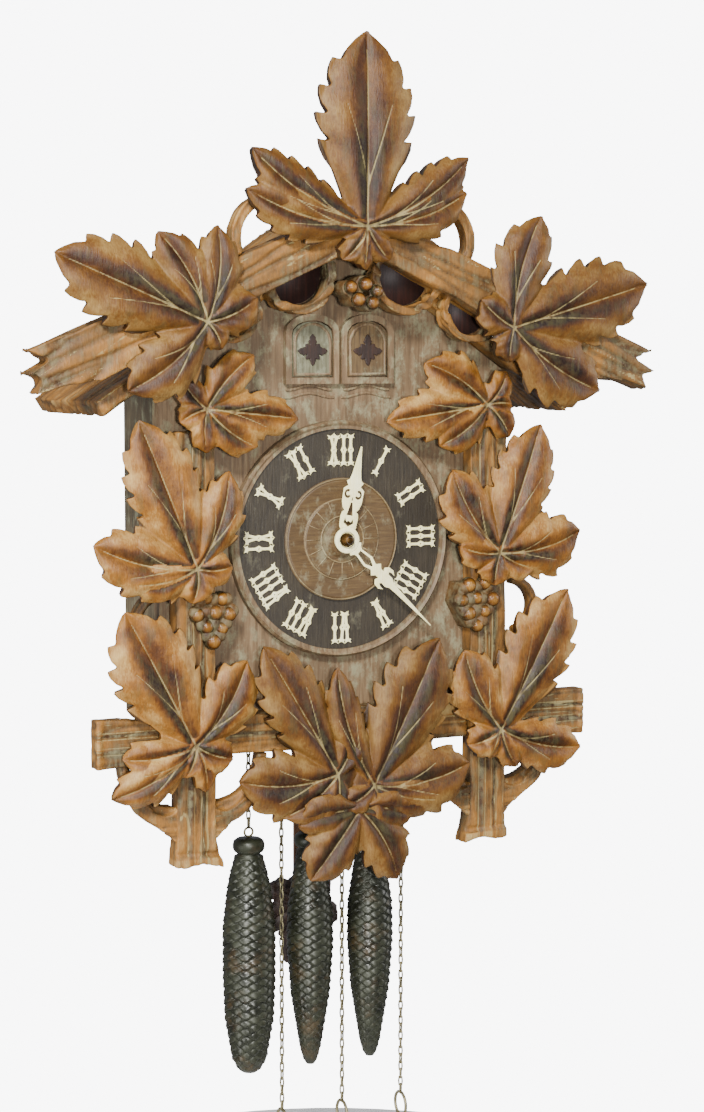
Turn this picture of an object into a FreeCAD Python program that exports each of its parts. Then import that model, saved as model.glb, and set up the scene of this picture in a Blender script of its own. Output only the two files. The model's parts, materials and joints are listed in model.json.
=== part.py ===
import FreeCAD, Part
import math
import os
import Sketcher

Vector = FreeCAD.Vector
Rotation = FreeCAD.Rotation
Placement = FreeCAD.Placement

# Carved three-weight cuckoo and quail clock. Millimetres, +Z up, +X right, front towards -Y.
# The origin is the middle of the hanger hole, in the plane of the wall.
# "Forward" below is the distance from the wall, so a face at forward F lies at Y = -F.
# Heights in the tables are counted from the middle of the dial.

SIZES = {
    "dial_drop": 175,
    "case_half": 130,
    "board": 12,
    "case_depth": 128,
    "front_half": 152,
    "case_bottom": 150,
    "back_thick": 10,
    "ridge": 237,
    "roof_thick": 14,
    "roof_front": 158,
    "eaves": 200,
    "crown_thick": 26,
    "front_face": 140,
    "dial_face": 146,
    "chapter_radius": 88,
    "dial_radius": 94.5,
    "center_radius": 49,
    "ring_radius": 32,
    "hub_radius": 12,
    "numeral_radius": 71,
    "numeral_height": 27,
    "numeral_thick": 1.2,
    "hand_thick": 1.2,
    "hour_hand_at": 154,
    "minute_hand_at": 157.5,
    "pipe_radius": 4.5,
    "arbor_radius": 3,
    "fit": 0.05,
    "train_pitch": 54,
    "great_below": 42,
    "sprocket_radius": 11.8,
    "chain_offset": 14.35,
    "chain_forward": 117,
    "chain_thick": 4.5,
    "plate_thick": 2,
    "plate_back": 72,
    "plate_front": 123,
    "plate_half": 85,
    "pendulum_pivot": 48,
    "rod_width": 10,
    "rod_thick": 3.5,
    "rod_forward": 61,
    "bob_below": 328,
    "bob_half": 28,
    "bob_tall": 44,
    "door_width": 34,
    "door_tall": 43,
    "door_thick": 4.8,
    "door_center": 24,
    "door_above": 151,
    "log_width": 34,
    "log_thick": 20,
    "weight_top": 256,
    "weight_tall": 178,
    "travel": 80,
}

ROOF_SLOPE = 0.69
HAND_ANGLE = {"hour": 11, "minute": 134}

doc = FreeCAD.newDocument("CuckooClock")
sheet = doc.addObject("Spreadsheet::Sheet", "Sizes")
for row, (alias, value) in enumerate(SIZES.items(), start=1):
    sheet.set(f"A{row}", alias)
    sheet.set(f"B{row}", str(value))
    sheet.setAlias(f"B{row}", alias)
doc.recompute()

nodes = []


def size(alias):
    return float(sheet.get(alias))


def bind(obj, prop, value):
    """A number is set, and text is an expression on the sheet's aliases."""
    if isinstance(value, str):
        words = value.split(" ")
        named = ["Sizes." + w if w in SIZES else w for w in words]
        obj.setExpression(prop, " ".join(named))
    else:
        obj.setExpression(prop, str(value))


def node(obj, label):
    obj.Label = label
    nodes.append(obj)
    return obj


def height(above):
    """Height in the part's frame of a place given above the middle of the dial."""
    return above - size("dial_drop")


# ---- outlines -------------------------------------------------------------------------------

def closed(points):
    """Line segments round a closed outline of (x, height above the dial) points."""
    places = [Vector(x, height(up), 0) for x, up in points]
    ends = places[1:] + places[:1]
    return [Part.LineSegment(a, b) for a, b in zip(places, ends)]


def circle(x, up, radius):
    return [Part.Circle(Vector(x, height(up), 0), Vector(0, 0, 1), radius)]


def mirrored(points):
    return [(-x, up) for x, up in reversed(points)]


def rectangle(left, low, right, high):
    return [(left, low), (right, low), (right, high), (left, high)]


def arched(x, low, width, tall):
    """A door outline: straight sides and a top that is an arc, as points."""
    half = width / 2
    spring = low + tall - half * 0.6
    steps = [math.radians(a) for a in range(0, 181, 20)]
    top = [(x + half * math.cos(a), spring + half * 0.6 * math.sin(a)) for a in steps]
    return [(x - half, low), (x + half, low)] + top


def origin_plane(body, role):
    return next(f for f in body.Origin.OriginFeatures if f.Role == role)


def sketched(body, edges, forward):
    """A sketch that faces the front, at a distance forward of the wall."""
    sketch = body.newObject("Sketcher::SketchObject", body.Name + "_sketch")
    sketch.AttachmentSupport = [(origin_plane(body, "XZ_Plane"), "")]
    sketch.MapMode = "FlatFace"
    bind(sketch, "AttachmentOffset.Base.z", forward)
    sketch.addGeometry(edges, False)
    return sketch


def board(label, edges, back, thick):
    """A piece sawn from a board: its outline seen from the front, its back face, its thickness."""
    body = doc.addObject("PartDesign::Body", label)
    sketch = sketched(body, edges, back)
    pad = body.newObject("PartDesign::Pad", label + "_pad")
    pad.Profile = sketch
    bind(pad, "Length", thick)
    sketch.Visibility = False
    return body


def pocket(body, edges, forward, deep):
    """Cuts from a plane forward of the wall back towards the wall."""
    sketch = sketched(body, edges, forward)
    cut = body.newObject("PartDesign::Pocket", body.Name + "_pocket")
    cut.Profile = sketch
    bind(cut, "Length", deep)
    return cut


# ---- primitives -----------------------------------------------------------------------------

def place(obj, x, forward, up):
    bind(obj, "Placement.Base.x", x)
    bind(obj, "Placement.Base.y", f"-( {forward} )")
    bind(obj, "Placement.Base.z", f"{up} - dial_drop")


def shaft(name, x, up, back, length, radius):
    """A round bar that runs forward from its back end."""
    bar = doc.addObject("Part::Cylinder", name)
    bar.Placement = Placement(Vector(), Rotation(Vector(1, 0, 0), 90))
    place(bar, x, back, up)
    bind(bar, "Height", length)
    bind(bar, "Radius", radius)
    return bar


def upright(name, x, forward, low, length, radius):
    """A round bar that stands on its lower end."""
    bar = doc.addObject("Part::Cylinder", name)
    place(bar, x, forward, low)
    bind(bar, "Height", length)
    bind(bar, "Radius", radius)
    return bar


def block(name, left, width, front, deep, low, tall):
    """A box from its left side, its front face forward of the wall and its underside."""
    box = doc.addObject("Part::Box", name)
    place(box, left, front, low)
    bind(box, "Length", width)
    bind(box, "Width", deep)
    bind(box, "Height", tall)
    return box


def torus(name, x, forward, up, radius, thick):
    """A ring that faces the front."""
    ring = doc.addObject("Part::Torus", name)
    ring.Placement = Placement(Vector(), Rotation(Vector(1, 0, 0), 90))
    place(ring, x, forward, up)
    bind(ring, "Radius1", radius)
    bind(ring, "Radius2", thick)
    return ring


def fuse(name, pieces):
    joined = doc.addObject("Part::MultiFuse", name)
    joined.Shapes = pieces
    joined.Refine = True
    return joined


def cut(name, base, tool):
    left = doc.addObject("Part::Cut", name)
    left.Base = base
    left.Tool = tool
    left.Refine = True
    return left


def group(name, pieces):
    """Separate solids that share one node."""
    together = doc.addObject("Part::Compound", name)
    together.Links = pieces
    return together


def plain(name, shape):
    piece = doc.addObject("Part::Feature", name)
    piece.Shape = shape
    return piece


def flat_face(places):
    """A flat face in the XZ plane that always faces the same way, so that faces can be joined."""
    ends = places[1:] + places[:1]
    turn = sum(a.x * b.z - b.x * a.z for a, b in zip(places, ends))
    if turn < 0:
        places = places[::-1]
    return Part.Face(Part.makePolygon(places + places[:1]))


def face_of(points):
    """A face from (x, height above the dial) points."""
    return flat_face([Vector(x, 0, height(up)) for x, up in points])


def extruded(face, back, thick):
    """A solid from a face in the XZ plane, its back at a distance forward of the wall."""
    moved = face.translated(Vector(0, -back, 0))
    return moved.extrude(Vector(0, -thick, 0))


def half_plan(points, back, thick):
    return extruded(face_of(points), back, thick)


def rod_solid(x, up, back, length, radius):
    return Part.makeCylinder(radius, length, Vector(x, -back, height(up)), Vector(0, -1, 0))


# ---- vine leaves ----------------------------------------------------------------------------

# One side of a lobe, from the foot to the tip: share of its length, share of its half width.
LOBE_SIDE = [(0.0, 0.28), (0.30, 0.62), (0.46, 0.90), (0.60, 1.0), (0.61, 0.78), (0.76, 0.70), (0.77, 0.48),
             (0.90, 0.38), (0.905, 0.22)]
HUB_SHARE = 0.3


def lobe_face(foot, angle, length, half):
    """One toothed lobe of a vine leaf, pointing at an angle from the foot."""
    along = Vector(math.cos(math.radians(angle)), math.sin(math.radians(angle)), 0)
    across = Vector(-along.y, along.x, 0)
    left = [along * length * s + across * half * w for s, w in LOBE_SIDE]
    right = [along * length * s - across * half * w for s, w in reversed(LOBE_SIDE)]
    outline = left + [along * length] + right
    return face_of([(foot[0] + p.x, foot[1] + p.y) for p in outline])


def leaf_face(foot, lobes):
    """The lobes round a foot, joined by a hub that closes the gaps between them."""
    reach = HUB_SHARE * sum(length for _, length, _ in lobes) / len(lobes)
    turns = [math.radians(a) for a in range(0, 360, 24)]
    hub = face_of([(foot[0] + reach * math.cos(a), foot[1] + reach * math.sin(a)) for a in turns])
    whole = hub.fuse([lobe_face(foot, *lobe) for lobe in lobes])
    joined = whole.removeSplitter()
    return max(joined.Faces, key=lambda face: face.Area)


def leaf(name, foot, lobes, front, thick, support):
    """A leaf sawn from a board, on a round boss that reaches back to what carries it."""
    blade = extruded(leaf_face(foot, lobes), front - thick, thick)
    reach = front - thick - support
    if reach > 0:
        middle = Vector(foot[0], -support, height(foot[1]))
        blade = blade.fuse(Part.makeCylinder(9, reach, middle, Vector(0, -1, 0)))
    return plain(name, blade.removeSplitter())


# Each leaf: foot, lobes as (angle, length, half width), front face, thickness, face it stands on.
LEAVES = {
    "crest_leaf": ((0, 220), [(18, 84, 27), (38, 120, 34), (90, 174, 44), (142, 114, 34), (162, 80, 27)],
                   202, 18, 184),
    "roof_leaf_left": ((-131, 171), [(25, 46, 22), (98, 70, 34), (157, 128, 36), (225, 76, 32), (300, 30, 18)],
                       198, 13, 184),
    "roof_leaf_right": ((131, 168), [(-32, 96, 32), (16, 131, 36), (74, 93, 27), (142, 36, 20), (265, 28, 18)],
                        198, 13, 184),
    "upper_leaf_left": ((-122, 105), [(-6, 78, 20), (46, 58, 20), (130, 31, 15), (205, 24, 13), (271, 34, 15),
                                      (325, 52, 20)], 172, 12, 140),
    "upper_leaf_right": ((121, 106), [(188, 91, 22), (149, 66, 22), (56, 33, 15), (0, 24, 13), (308, 34, 15),
                                      (217, 54, 20)], 172, 12, 140),
    "middle_leaf_left": ((-132, -17), [(2, 32, 18), (66, 82, 28), (112, 124, 31), (166, 86, 28), (190, 56, 20),
                                       (262, 27, 16)], 177, 14, 160),
    "middle_leaf_right": ((131, -14), [(-22, 36, 18), (12, 78, 28), (70, 111, 29), (122, 81, 27),
                                       (170, 36, 18), (262, 27, 16)], 177, 14, 160),
    "lower_leaf_left": ((-134, -154), [(-20, 34, 20), (53, 81, 31), (118, 121, 38), (203, 74, 30),
                                       (238, 46, 22), (282, 44, 24)], 177, 14, 160),
    "lower_leaf_right": ((133, -159), [(-18, 80, 30), (61, 130, 34), (116, 75, 28), (200, 32, 20),
                                       (243, 30, 18), (298, 44, 24)], 177, 14, 160),
}
SPRAY = {
    "left": ((-16, -184), [(121, 123, 28), (180, 84, 30), (214, 56, 22), (262, 54, 22), (70, 46, 20)], 182),
    "right": ((15, -195), [(63, 130, 36), (108, 102, 17), (8, 88, 30), (346, 60, 22), (304, 40, 18),
                           (208, 32, 16)], 182),
    "low": ((2, -213), [(190, 54, 22), (232, 69, 24), (300, 69, 24), (350, 50, 20)], 184),
}

for label, (foot, lobes, front, thick, support) in LEAVES.items():
    node(leaf(label, foot, lobes, front, thick, support), label)

# The spray of three leaves under the dial is one carving: later leaves lie over earlier ones.
spray = None
for foot, lobes, front in SPRAY.values():
    blade = extruded(leaf_face(foot, lobes), front - 14, 14)
    spray = blade if spray is None else spray.fuse(blade)
SPRAY_LUG = [(-20, -212), (22, -212), (22, -150), (-20, -150)]
spray_block = half_plan(SPRAY_LUG, 140, 30)
node(plain("bottom_leaves", spray.fuse(spray_block).removeSplitter()), "bottom_leaves")


# ---- case -----------------------------------------------------------------------------------

def under_roof(x):
    """Height above the dial of the roof's underside."""
    return size("ridge") - ROOF_SLOPE * abs(x)


def case():
    inner = size("case_half") - size("board")
    outer = size("case_half")
    low = -size("case_bottom")
    wall = [(inner, low), (outer, low), (outer, under_roof(outer)), (inner, under_roof(inner))]
    node(board("side_board_right", closed(wall), 0, "case_depth"), "side_board_right")
    node(board("side_board_left", closed(mirrored(wall)), 0, "case_depth"), "side_board_left")

    half = size("front_half")
    gable = [(-half, low), (half, low), (half, under_roof(half)), (0, size("ridge")),
             (-half, under_roof(half))]
    front = board("front_board", closed(gable), "case_depth", "front_face - case_depth")
    width = size("door_width") - 4
    tall = size("door_tall") - 4
    windows = []
    for side in (-1, 1):
        middle = side * size("door_center")
        windows += closed(arched(middle, size("door_above") - tall / 2, width, tall))
    windows += circle(0, 0, 36)
    pocket(front, windows, "front_face", "board")
    node(front, "front_board")

    floor = block("floor_blank", "board - case_half", "( case_half - board ) * 2",
                  "case_depth", "case_depth", "- case_bottom", 10)
    slots = [block("pendulum_slot", -34, 68, 78, 26, "- case_bottom - 1", 12)]
    for train in (-1, 0, 1):
        slots.append(block("chain_slot", f"train_pitch * {train} - 23", 46,
                           126, 18, "- case_bottom - 1", 12))
    node(cut("bottom_cut", floor, fuse("floor_slots", slots)), "bottom_board")

    upper = [(-inner, 98), (inner, 98), (inner, under_roof(inner)), (0, size("ridge")),
             (-inner, under_roof(inner))]
    back = board("back_board", closed(upper), 0, "back_thick")
    drop = size("dial_drop")
    pocket(back, circle(0, drop, 8), "back_thick", "back_thick")
    recess = back.newObject("PartDesign::Pocket", "hanger_recess")
    recess.Profile = sketched(back, closed(rectangle(-22, drop - 12, 22, drop + 12)), 0)
    recess.Length = 2
    recess.Reversed = True
    node(back, "back_board")
    plate = board("hanger", closed(rectangle(-22, drop - 12, 22, drop + 12))
                  + circle(0, drop, 5), 0, 2)
    node(plate, "hanger_plate")

    slab = size("roof_thick") * math.sqrt(1 + ROOF_SLOPE ** 2)
    eaves = size("eaves")
    run = [(0, size("ridge")), (eaves, under_roof(eaves)),
           (eaves + 8, under_roof(eaves) + slab - 5), (0, size("ridge") + slab)]
    node(board("roof_right", closed(run), 0, "roof_front"), "roof_board_right")
    node(board("roof_left", closed(mirrored(run)), 0, "roof_front"), "roof_board_left")


case()


# ---- crown: split logs along the gable, festoons under them, loops behind the crest leaf ------

def arc_band(x, up, inner, outer, start, end, back, thick):
    """A flat curved branch between two angles."""
    turns = [math.radians(start + (end - start) * k / 12) for k in range(13)]
    outside = [(x + outer * math.cos(a), up + outer * math.sin(a)) for a in turns]
    inside = [(x + inner * math.cos(a), up + inner * math.sin(a)) for a in reversed(turns)]
    return half_plan(outside + inside, back, thick)


def flipped(shape):
    """The mirror image across the clock's middle plane."""
    return shape.mirror(Vector(0, 0, 0), Vector(1, 0, 0))


def both_sides(shapes):
    return Part.makeCompound(shapes + [flipped(s) for s in shapes])


# Hollow festoons under the logs: centre, inner and outer radius, first and last angle.
FESTOONS = [(47, 209, 24, 32, 152, 336), (104, 182, 20, 27, 152, 336)]


def crown():
    back = size("roof_front")
    thick = size("crown_thick")
    log = [(0, 230), (70, 197), (150, 157), (212, 127), (240, 124), (262, 117), (257, 129), (269, 133),
           (252, 143), (269, 150), (240, 162), (150, 200), (65, 236), (0, 263)]
    half = half_plan(log, back, thick).fuse([arc_band(*bow, back, 16) for bow in FESTOONS])
    node(plain("crown", half.fuse(flipped(half)).removeSplitter()), "crown_board")
    loop = arc_band(70, 236, 26, 35, -35, 110, back + 4, 14)
    loop = loop.cut(half_plan(log, back, thick))
    crest = extruded(leaf_face(*LEAVES["crest_leaf"][:2]), back + 26, 40)
    return loop.cut(crest)


loop = crown()


# ---- vine frame: posts, cross logs, braces, side loops ----------------------------------------

def vine_frame():
    """The posts and cross logs on the front board, and the bent branches between them."""
    half = size("log_width") / 2
    back = size("front_face")
    post = [(128 - half, -225), (128 - half - 6, -240), (128 - 4, -252), (128 + 6, -246),
            (128 + half + 2, -256), (128 + half, -225), (128 + half - 3, 90), (128 - half + 3, 90)]
    node(board("right_post", closed(post), "front_face", "log_thick"), "post_right")
    node(board("left_post", closed(mirrored(post)), "front_face", "log_thick"), "post_left")
    stub = [(145, -167), (200, -169), (218, -166), (212, -152), (219, -140), (204, -131), (145, -133)]
    middle = half_plan(rectangle(-111, -166, 111, -134), back, 14)
    middle = middle.cut(half_plan(SPRAY_LUG, back, 30))
    end = half_plan(stub, back, 16)
    node(plain("logs", Part.makeCompound([end, flipped(end), middle])), "cross_logs")
    outer_brace = arc_band(145, -167, 36, 45, 270, 360, back, 12).cut(end)
    inner_brace = arc_band(111, -166, 36, 45, 180, 270, back, 12)
    side_loop = arc_band(152, -60, 18, 26, -80, 88, back, 12)
    braces = [outer_brace, inner_brace, side_loop, loop]
    node(plain("bent_branches", both_sides(braces)), "bent_branches")
    return half_plan(post, back, size("log_thick"))


post_solid = vine_frame()


# ---- grapes -----------------------------------------------------------------------------------

def grapes():
    """Bunches of berries: half balls, the top bunch on the crown and the others on the front board."""
    berries = []
    rows = [(3, 0), (4, -9.5), (3, -19), (2, -28)]
    for count, drop in rows:
        for k in range(count):
            x = 115 + (k - (count - 1) / 2) * 10.5
            berries.append((x, -42 + drop, size("front_face") + size("log_thick"), 5.6))
    balls = []
    for x, up, back, radius in berries:
        for side in (-1, 1):
            centre = Vector(side * x, -back, height(up))
            balls.append(Part.makeSphere(radius, centre, Vector(0, -1, 0), 0, 90, 360))
    for x, up in [(-9, 198), (3, 202), (14, 195), (-2, 190), (9, 186)]:
        centre = Vector(x, -184, height(up))
        balls.append(Part.makeSphere(5.8, centre, Vector(0, -1, 0), 0, 90, 360))
    bed = half_plan([(-16, 180), (20, 180), (24, 206), (-20, 206)], 158, 26)
    bows = arc_band(*FESTOONS[0], 158, 16)
    bed = bed.cut([bows, flipped(bows)])
    top = half_plan([(0, 230), (70, 197), (0, 263)], 158, 26)
    bed = bed.cut([top, flipped(top)])
    side_bed = half_plan([(100, -38), (130, -38), (134, -54), (122, -76), (108, -76), (96, -54)],
                         size("front_face"), size("log_thick")).cut(post_solid)
    parts = balls[0].fuse(balls[1:] + [bed, side_bed, flipped(side_bed)])
    for label in ("crest_leaf", "middle_leaf_left", "middle_leaf_right"):
        foot, lobes, front, thick, _ = LEAVES[label]
        parts = parts.cut(extruded(leaf_face(foot, lobes), front - thick - 0.2, thick + 20))
    node(plain("grape_bunches", parts.removeSplitter()), "grapes")


grapes()


# ---- dial -------------------------------------------------------------------------------------

def turned(label, profile):
    """A wooden piece turned on a lathe: (radius, forward) points spun round the dial's axis."""
    points = [Vector(r, -f, height(0)) for r, f in profile]
    face = Part.Face(Part.makePolygon(points + points[:1]))
    return plain(label, face.revolve(Vector(0, 0, height(0)), Vector(0, 1, 0), 360))


def stroke(start, end, width):
    """A straight stroke of a numeral between two (x, y) points."""
    run = Vector(end[0] - start[0], end[1] - start[1], 0)
    side = Vector(-run.y, run.x, 0).normalize() * (width / 2)
    a, b = Vector(start[0], start[1], 0), Vector(end[0], end[1], 0)
    corners = [a + side, b + side, b - side, a - side]
    return flat_face([Vector(p.x, 0, p.y) for p in corners])


ROMAN = ["I", "II", "III", "IIII", "V", "VI", "VII", "VIII", "IX", "X", "XI", "XII"]
LETTER_WIDTH = {"I": 6.2, "V": 12, "X": 12}


def numeral(text, hour):
    """A fretted numeral on its place round the chapter, feet towards the middle."""
    tall = size("numeral_height")
    top, bottom = tall / 2, -tall / 2
    x = -sum(LETTER_WIDTH[c] for c in text) / 2
    faces = [stroke((x, top - 1), (-x, top - 1), 2), stroke((x, bottom + 1), (-x, bottom + 1), 2)]
    for letter in text:
        wide = LETTER_WIDTH[letter]
        left, middle, right = x + 1.8, x + wide / 2, x + wide - 1.8
        if letter == "I":
            faces.append(stroke((middle, bottom), (middle, top), 3.6))
        if letter == "V":
            faces.append(stroke((left, top), (middle, bottom), 3.6))
            faces.append(stroke((right, top), (middle, bottom), 2))
        if letter == "X":
            faces.append(stroke((left, top), (right, bottom), 3.6))
            faces.append(stroke((right, top), (left, bottom), 2))
        x += wide
    whole = faces[0].fuse(faces[1:]).removeSplitter()
    solid = whole.extrude(Vector(0, -size("numeral_thick"), 0))
    solid.translate(Vector(0, -size("dial_face"), size("numeral_radius")))
    solid.rotate(Vector(0, 0, 0), Vector(0, 1, 0), 30 * hour)
    solid.translate(Vector(0, 0, height(0)))
    return solid


def dial():
    front, face = size("front_face"), size("dial_face")
    rim, chapter = size("dial_radius"), size("chapter_radius")
    node(turned("rim", [(chapter + 0.1, front), (rim, front), (rim, face + 1), (rim - 2, face + 3.5),
                        (rim - 4, face + 2), (chapter + 0.1, face + 2)]), "dial_ring")
    node(turned("chapter", [(10, front), (chapter, front), (chapter, face), (10, face)]), "chapter_disc")
    edge, ring, hub = size("center_radius"), size("ring_radius"), size("hub_radius")
    node(turned("middle", [(7, face), (edge, face), (edge, face + 1.5), (edge - 3, face + 2.5),
                           (ring + 1, face + 1.5), (ring - 1, face + 3), (hub + 3, face + 3),
                           (hub, face + 6.5), (7, face + 6.5)]), "dial_center")
    marks = [numeral(text, hour) for hour, text in enumerate(ROMAN, start=1)]
    node(plain("marks", Part.makeCompound(marks)), "numerals")


dial()


# ---- hands ------------------------------------------------------------------------------------

def blade(points, hole, at, turn):
    """A flat hand: half its outline as (across, along) points, a hole, and its angle from twelve."""
    whole = points + [(-x, y) for x, y in reversed(points)]
    solid = flat_face([Vector(x, 0, y) for x, y in whole]).extrude(Vector(0, -size("hand_thick"), 0))
    eye = Part.makeCylinder(8, size("hand_thick"), Vector(), Vector(0, -1, 0))
    solid = solid.fuse(eye).removeSplitter()
    drill = Part.makeCylinder(hole, 10, Vector(0, 5, 0), Vector(0, -1, 0))
    solid = solid.cut(drill)
    solid.translate(Vector(0, -at, 0))
    solid.rotate(Vector(0, 0, 0), Vector(0, 1, 0), turn)
    solid.translate(Vector(0, 0, height(0)))
    return solid


def hands():
    fit = size("fit")
    hour = [(2.5, 0), (3, 14), (9.5, 20), (9.5, 30), (5, 36), (8.5, 42), (6, 50), (1.8, 54), (0.4, 74)]
    minute = [(2.5, 0), (2.5, 12), (6.5, 32), (7, 40), (3, 48), (8, 56), (5, 64), (1.6, 68), (0.4, 103)]
    hole = size("pipe_radius") + fit
    node(plain("hour", blade(hour, hole, size("hour_hand_at"), HAND_ANGLE["hour"])), "hour_hand")
    hole = size("arbor_radius") + fit
    pointer = blade(minute, hole, size("minute_hand_at"), HAND_ANGLE["minute"])
    nut = rod_solid(0, 0, size("minute_hand_at") + size("hand_thick"), 3, 5.5).cut(rod_solid(0, 0, 150, 20, hole))
    node(plain("minute", Part.makeCompound([pointer, nut])), "minute_hand")


hands()


# ---- wheels and motion work -------------------------------------------------------------------

def gear(x, up, teeth, pitch_radius, back, thick, first=0.0):
    """A spur wheel with plain teeth; the angle says where the middle of its first tooth is."""
    module = 2 * pitch_radius / teeth
    step = 2 * math.pi / teeth
    root, tip = pitch_radius - 1.25 * module, pitch_radius + 0.8 * module
    points = []
    for k in range(teeth):
        middle = math.radians(first) + k * step
        for share, radius in ((-0.3, root), (-0.12, tip), (0.12, tip), (0.3, root)):
            angle = middle + share * step
            points.append((x + radius * math.cos(angle), up + radius * math.sin(angle)))
    return half_plan(points, back, thick)


def motion_work():
    fit = size("fit")
    arbor, pipe = size("arbor_radius"), size("pipe_radius")
    spindle = rod_solid(0, 0, 72, 92, arbor)
    cannon = gear(0, 0, 12, 4.5, 127, 3, first=-90)
    cannon = cannon.fuse(rod_solid(0, 0, 125.5, 1.5, 6))
    node(plain("spindle", spindle.fuse(cannon).removeSplitter()), "center_arbor")
    tube = rod_solid(0, 0, 131, 24.3, pipe)
    wheel = gear(0, 0, 40, 14.4, 131.5, 2, first=-90)
    hour = tube.fuse(wheel).cut(rod_solid(0, 0, 120, 50, arbor + fit)).removeSplitter()
    node(plain("hour_pipe", hour), "hour_wheel")
    big = gear(0, -18, 36, 13.5, 127.3, 2.4, first=90 + 5)
    small = gear(0, -18, 10, 3.6, 129.7, 4.3, first=90 + 18)
    pair = big.fuse(small).cut(rod_solid(0, -18, 120, 20, 1.5 + fit)).removeSplitter()
    node(plain("minute_pair", pair), "minute_wheel")


motion_work()


def trains():
    """The three great wheels, each with its chain sprocket and arbor."""
    names = {-1: "cuckoo_great_wheel", 0: "time_great_wheel", 1: "quail_great_wheel"}
    for train, label in names.items():
        x, up = train * size("train_pitch"), -size("great_below")
        plane = 98 if train == 0 else 104
        wheel = gear(x, up, 60, 24, plane, 2.5)
        for k in range(5):
            angle = math.radians(72 * k + 36)
            hole = rod_solid(x + 14 * math.cos(angle), up + 14 * math.sin(angle), plane - 1, 5, 4.5)
            wheel = wheel.cut(hole)
        sprocket = rod_solid(x, up, 114.5, 5, size("sprocket_radius"))
        arbor = rod_solid(x, up, 72.2, 52.6, 2)
        node(plain(label + "_solid", wheel.fuse([sprocket, arbor]).removeSplitter()), label)
    scape = gear(0, 26, 30, 14, 79, 1.5)
    node(plain("scape", scape.fuse(rod_solid(0, 26, 72.2, 16, 1.5)).removeSplitter()), "escape_wheel")


trains()


def frame_plate(back):
    """One brass plate of the movement, bored for the arbors."""
    half, thick, fit = size("plate_half"), size("plate_thick"), size("fit")
    plate = half_plan(rectangle(-half, -75, half, 64), back, thick)
    holes = [rod_solid(0, 0, back - 1, thick + 2, size("arbor_radius") + fit)]
    for train in (-1, 0, 1):
        x = train * size("train_pitch")
        holes.append(rod_solid(x, -size("great_below"), back - 1, thick + 2, 2 + fit))
    return plate.cut(holes)


def movement_frame():
    back, front = size("plate_back"), size("plate_front")
    pivot, fit = size("pendulum_pivot"), size("fit")
    rear = frame_plate(back)
    rear = rear.cut([rod_solid(0, pivot, back - 1, 4, 2 + fit), rod_solid(0, 26, back - 1, 4, 1.5 + fit)])
    pieces = [frame_plate(front)]
    for x in (-80, 80):
        for up in (-70, 58):
            pieces.append(rod_solid(x, up, back + 2, front - back - 2, 3))
            pieces.append(rod_solid(x, up, front + 2, 3, 4))
    pieces.append(rod_solid(0, -18, front + 2, 9.5, 1.5))
    bridge = half_plan(rectangle(-5, pivot + 6, 5, pivot + 15), 54, 18)
    cock = half_plan(rectangle(-5, pivot - 5, 5, pivot + 15), 54, 4)
    pin = rod_solid(0, pivot, 58, 7.4, 1.5)
    scape_cock = half_plan(rectangle(-5, 20, 5, 32), 86.4, 3).cut(rod_solid(0, 26, 80, 20, 1.5 + fit))
    verge_cock = half_plan(rectangle(-5, 42, 5, 54), 86.4, 3).cut(rod_solid(0, pivot, 80, 20, 2 + fit))
    legs = half_plan(rectangle(-5, 32, 5, 42), 86.4, 36.6)
    pieces += [bridge, cock, pin, scape_cock, verge_cock, legs]
    node(plain("plates", rear.fuse(pieces).removeSplitter()), "movement_frame")


movement_frame()


# ---- pendulum and verge -------------------------------------------------------------------------

def pendulum():
    pivot = size("pendulum_pivot")
    wide, deep, at = size("rod_width"), size("rod_thick"), size("rod_forward")
    end = -size("bob_below") - size("bob_tall") - 12
    stick = half_plan(rectangle(-wide / 2, end, wide / 2, pivot + 5), at, deep)
    stick = stick.cut([rod_solid(0, pivot, at - 5, 20, 1.5 + size("fit")),
                       half_plan(rectangle(-1.6, -16, 1.6, -4), at - 5, 20)])
    node(plain("stick", stick), "pendulum_rod")
    half, tall, low = size("bob_half"), size("bob_tall"), -size("bob_below")
    turns = [math.radians(a) for a in range(0, 360, 20)]
    disc = half_plan([(half * math.cos(a), low + tall * math.sin(a)) for a in turns], at - 4, 12)
    slot = half_plan(rectangle(-wide / 2 - 0.05, low - 60, wide / 2 + 0.05, low + 60),
                     at - 0.05, deep + 0.1)
    node(plain("bob", disc.cut(slot)), "pendulum_bob")
    axle = rod_solid(0, pivot, 66.5, 22, 2)
    crutch = half_plan(rectangle(-2, -12, 2, pivot + 3), 66.5, 2.5)
    finger = rod_solid(0, -10, 59.5, 7.2, 1.4)
    anchor = half_plan([(-3, pivot - 2), (-14, pivot - 9), (-16, pivot - 6), (-3, pivot + 4), (3, pivot + 4),
                        (16, pivot - 6), (14, pivot - 9), (3, pivot - 2)], 79, 1.5)
    node(plain("verge_solid", axle.fuse([crutch, finger, anchor]).removeSplitter()), "verge")


pendulum()


# ---- doors, birds, rear door --------------------------------------------------------------------

def bird_door(side, label):
    width, tall = size("door_width"), size("door_tall")
    middle = side * size("door_center")
    outline = closed(arched(middle, size("door_above") - tall / 2, width, tall))
    node(board(label, outline, "front_face + 0.3", "door_thick"), label)


bird_door(-1, "door_left")
bird_door(1, "door_right")


def door_frame():
    """The carved arches round the two bird doors, one piece."""
    width, tall = size("door_width"), size("door_tall")
    middle, low = size("door_center"), size("door_above") - size("door_tall") / 2
    outer, inner = [], []
    for side in (-1, 1):
        x = side * middle
        outer.append(face_of(arched(x, low - 6, width + 12, tall + 12)))
        inner.append(face_of(arched(x, low - 1, width + 2, tall + 2)))
    ring = outer[0].fuse(outer[1]).cut(inner).removeSplitter()
    node(plain("arches", extruded(ring, size("front_face"), 6)), "door_frame")


door_frame()


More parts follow.
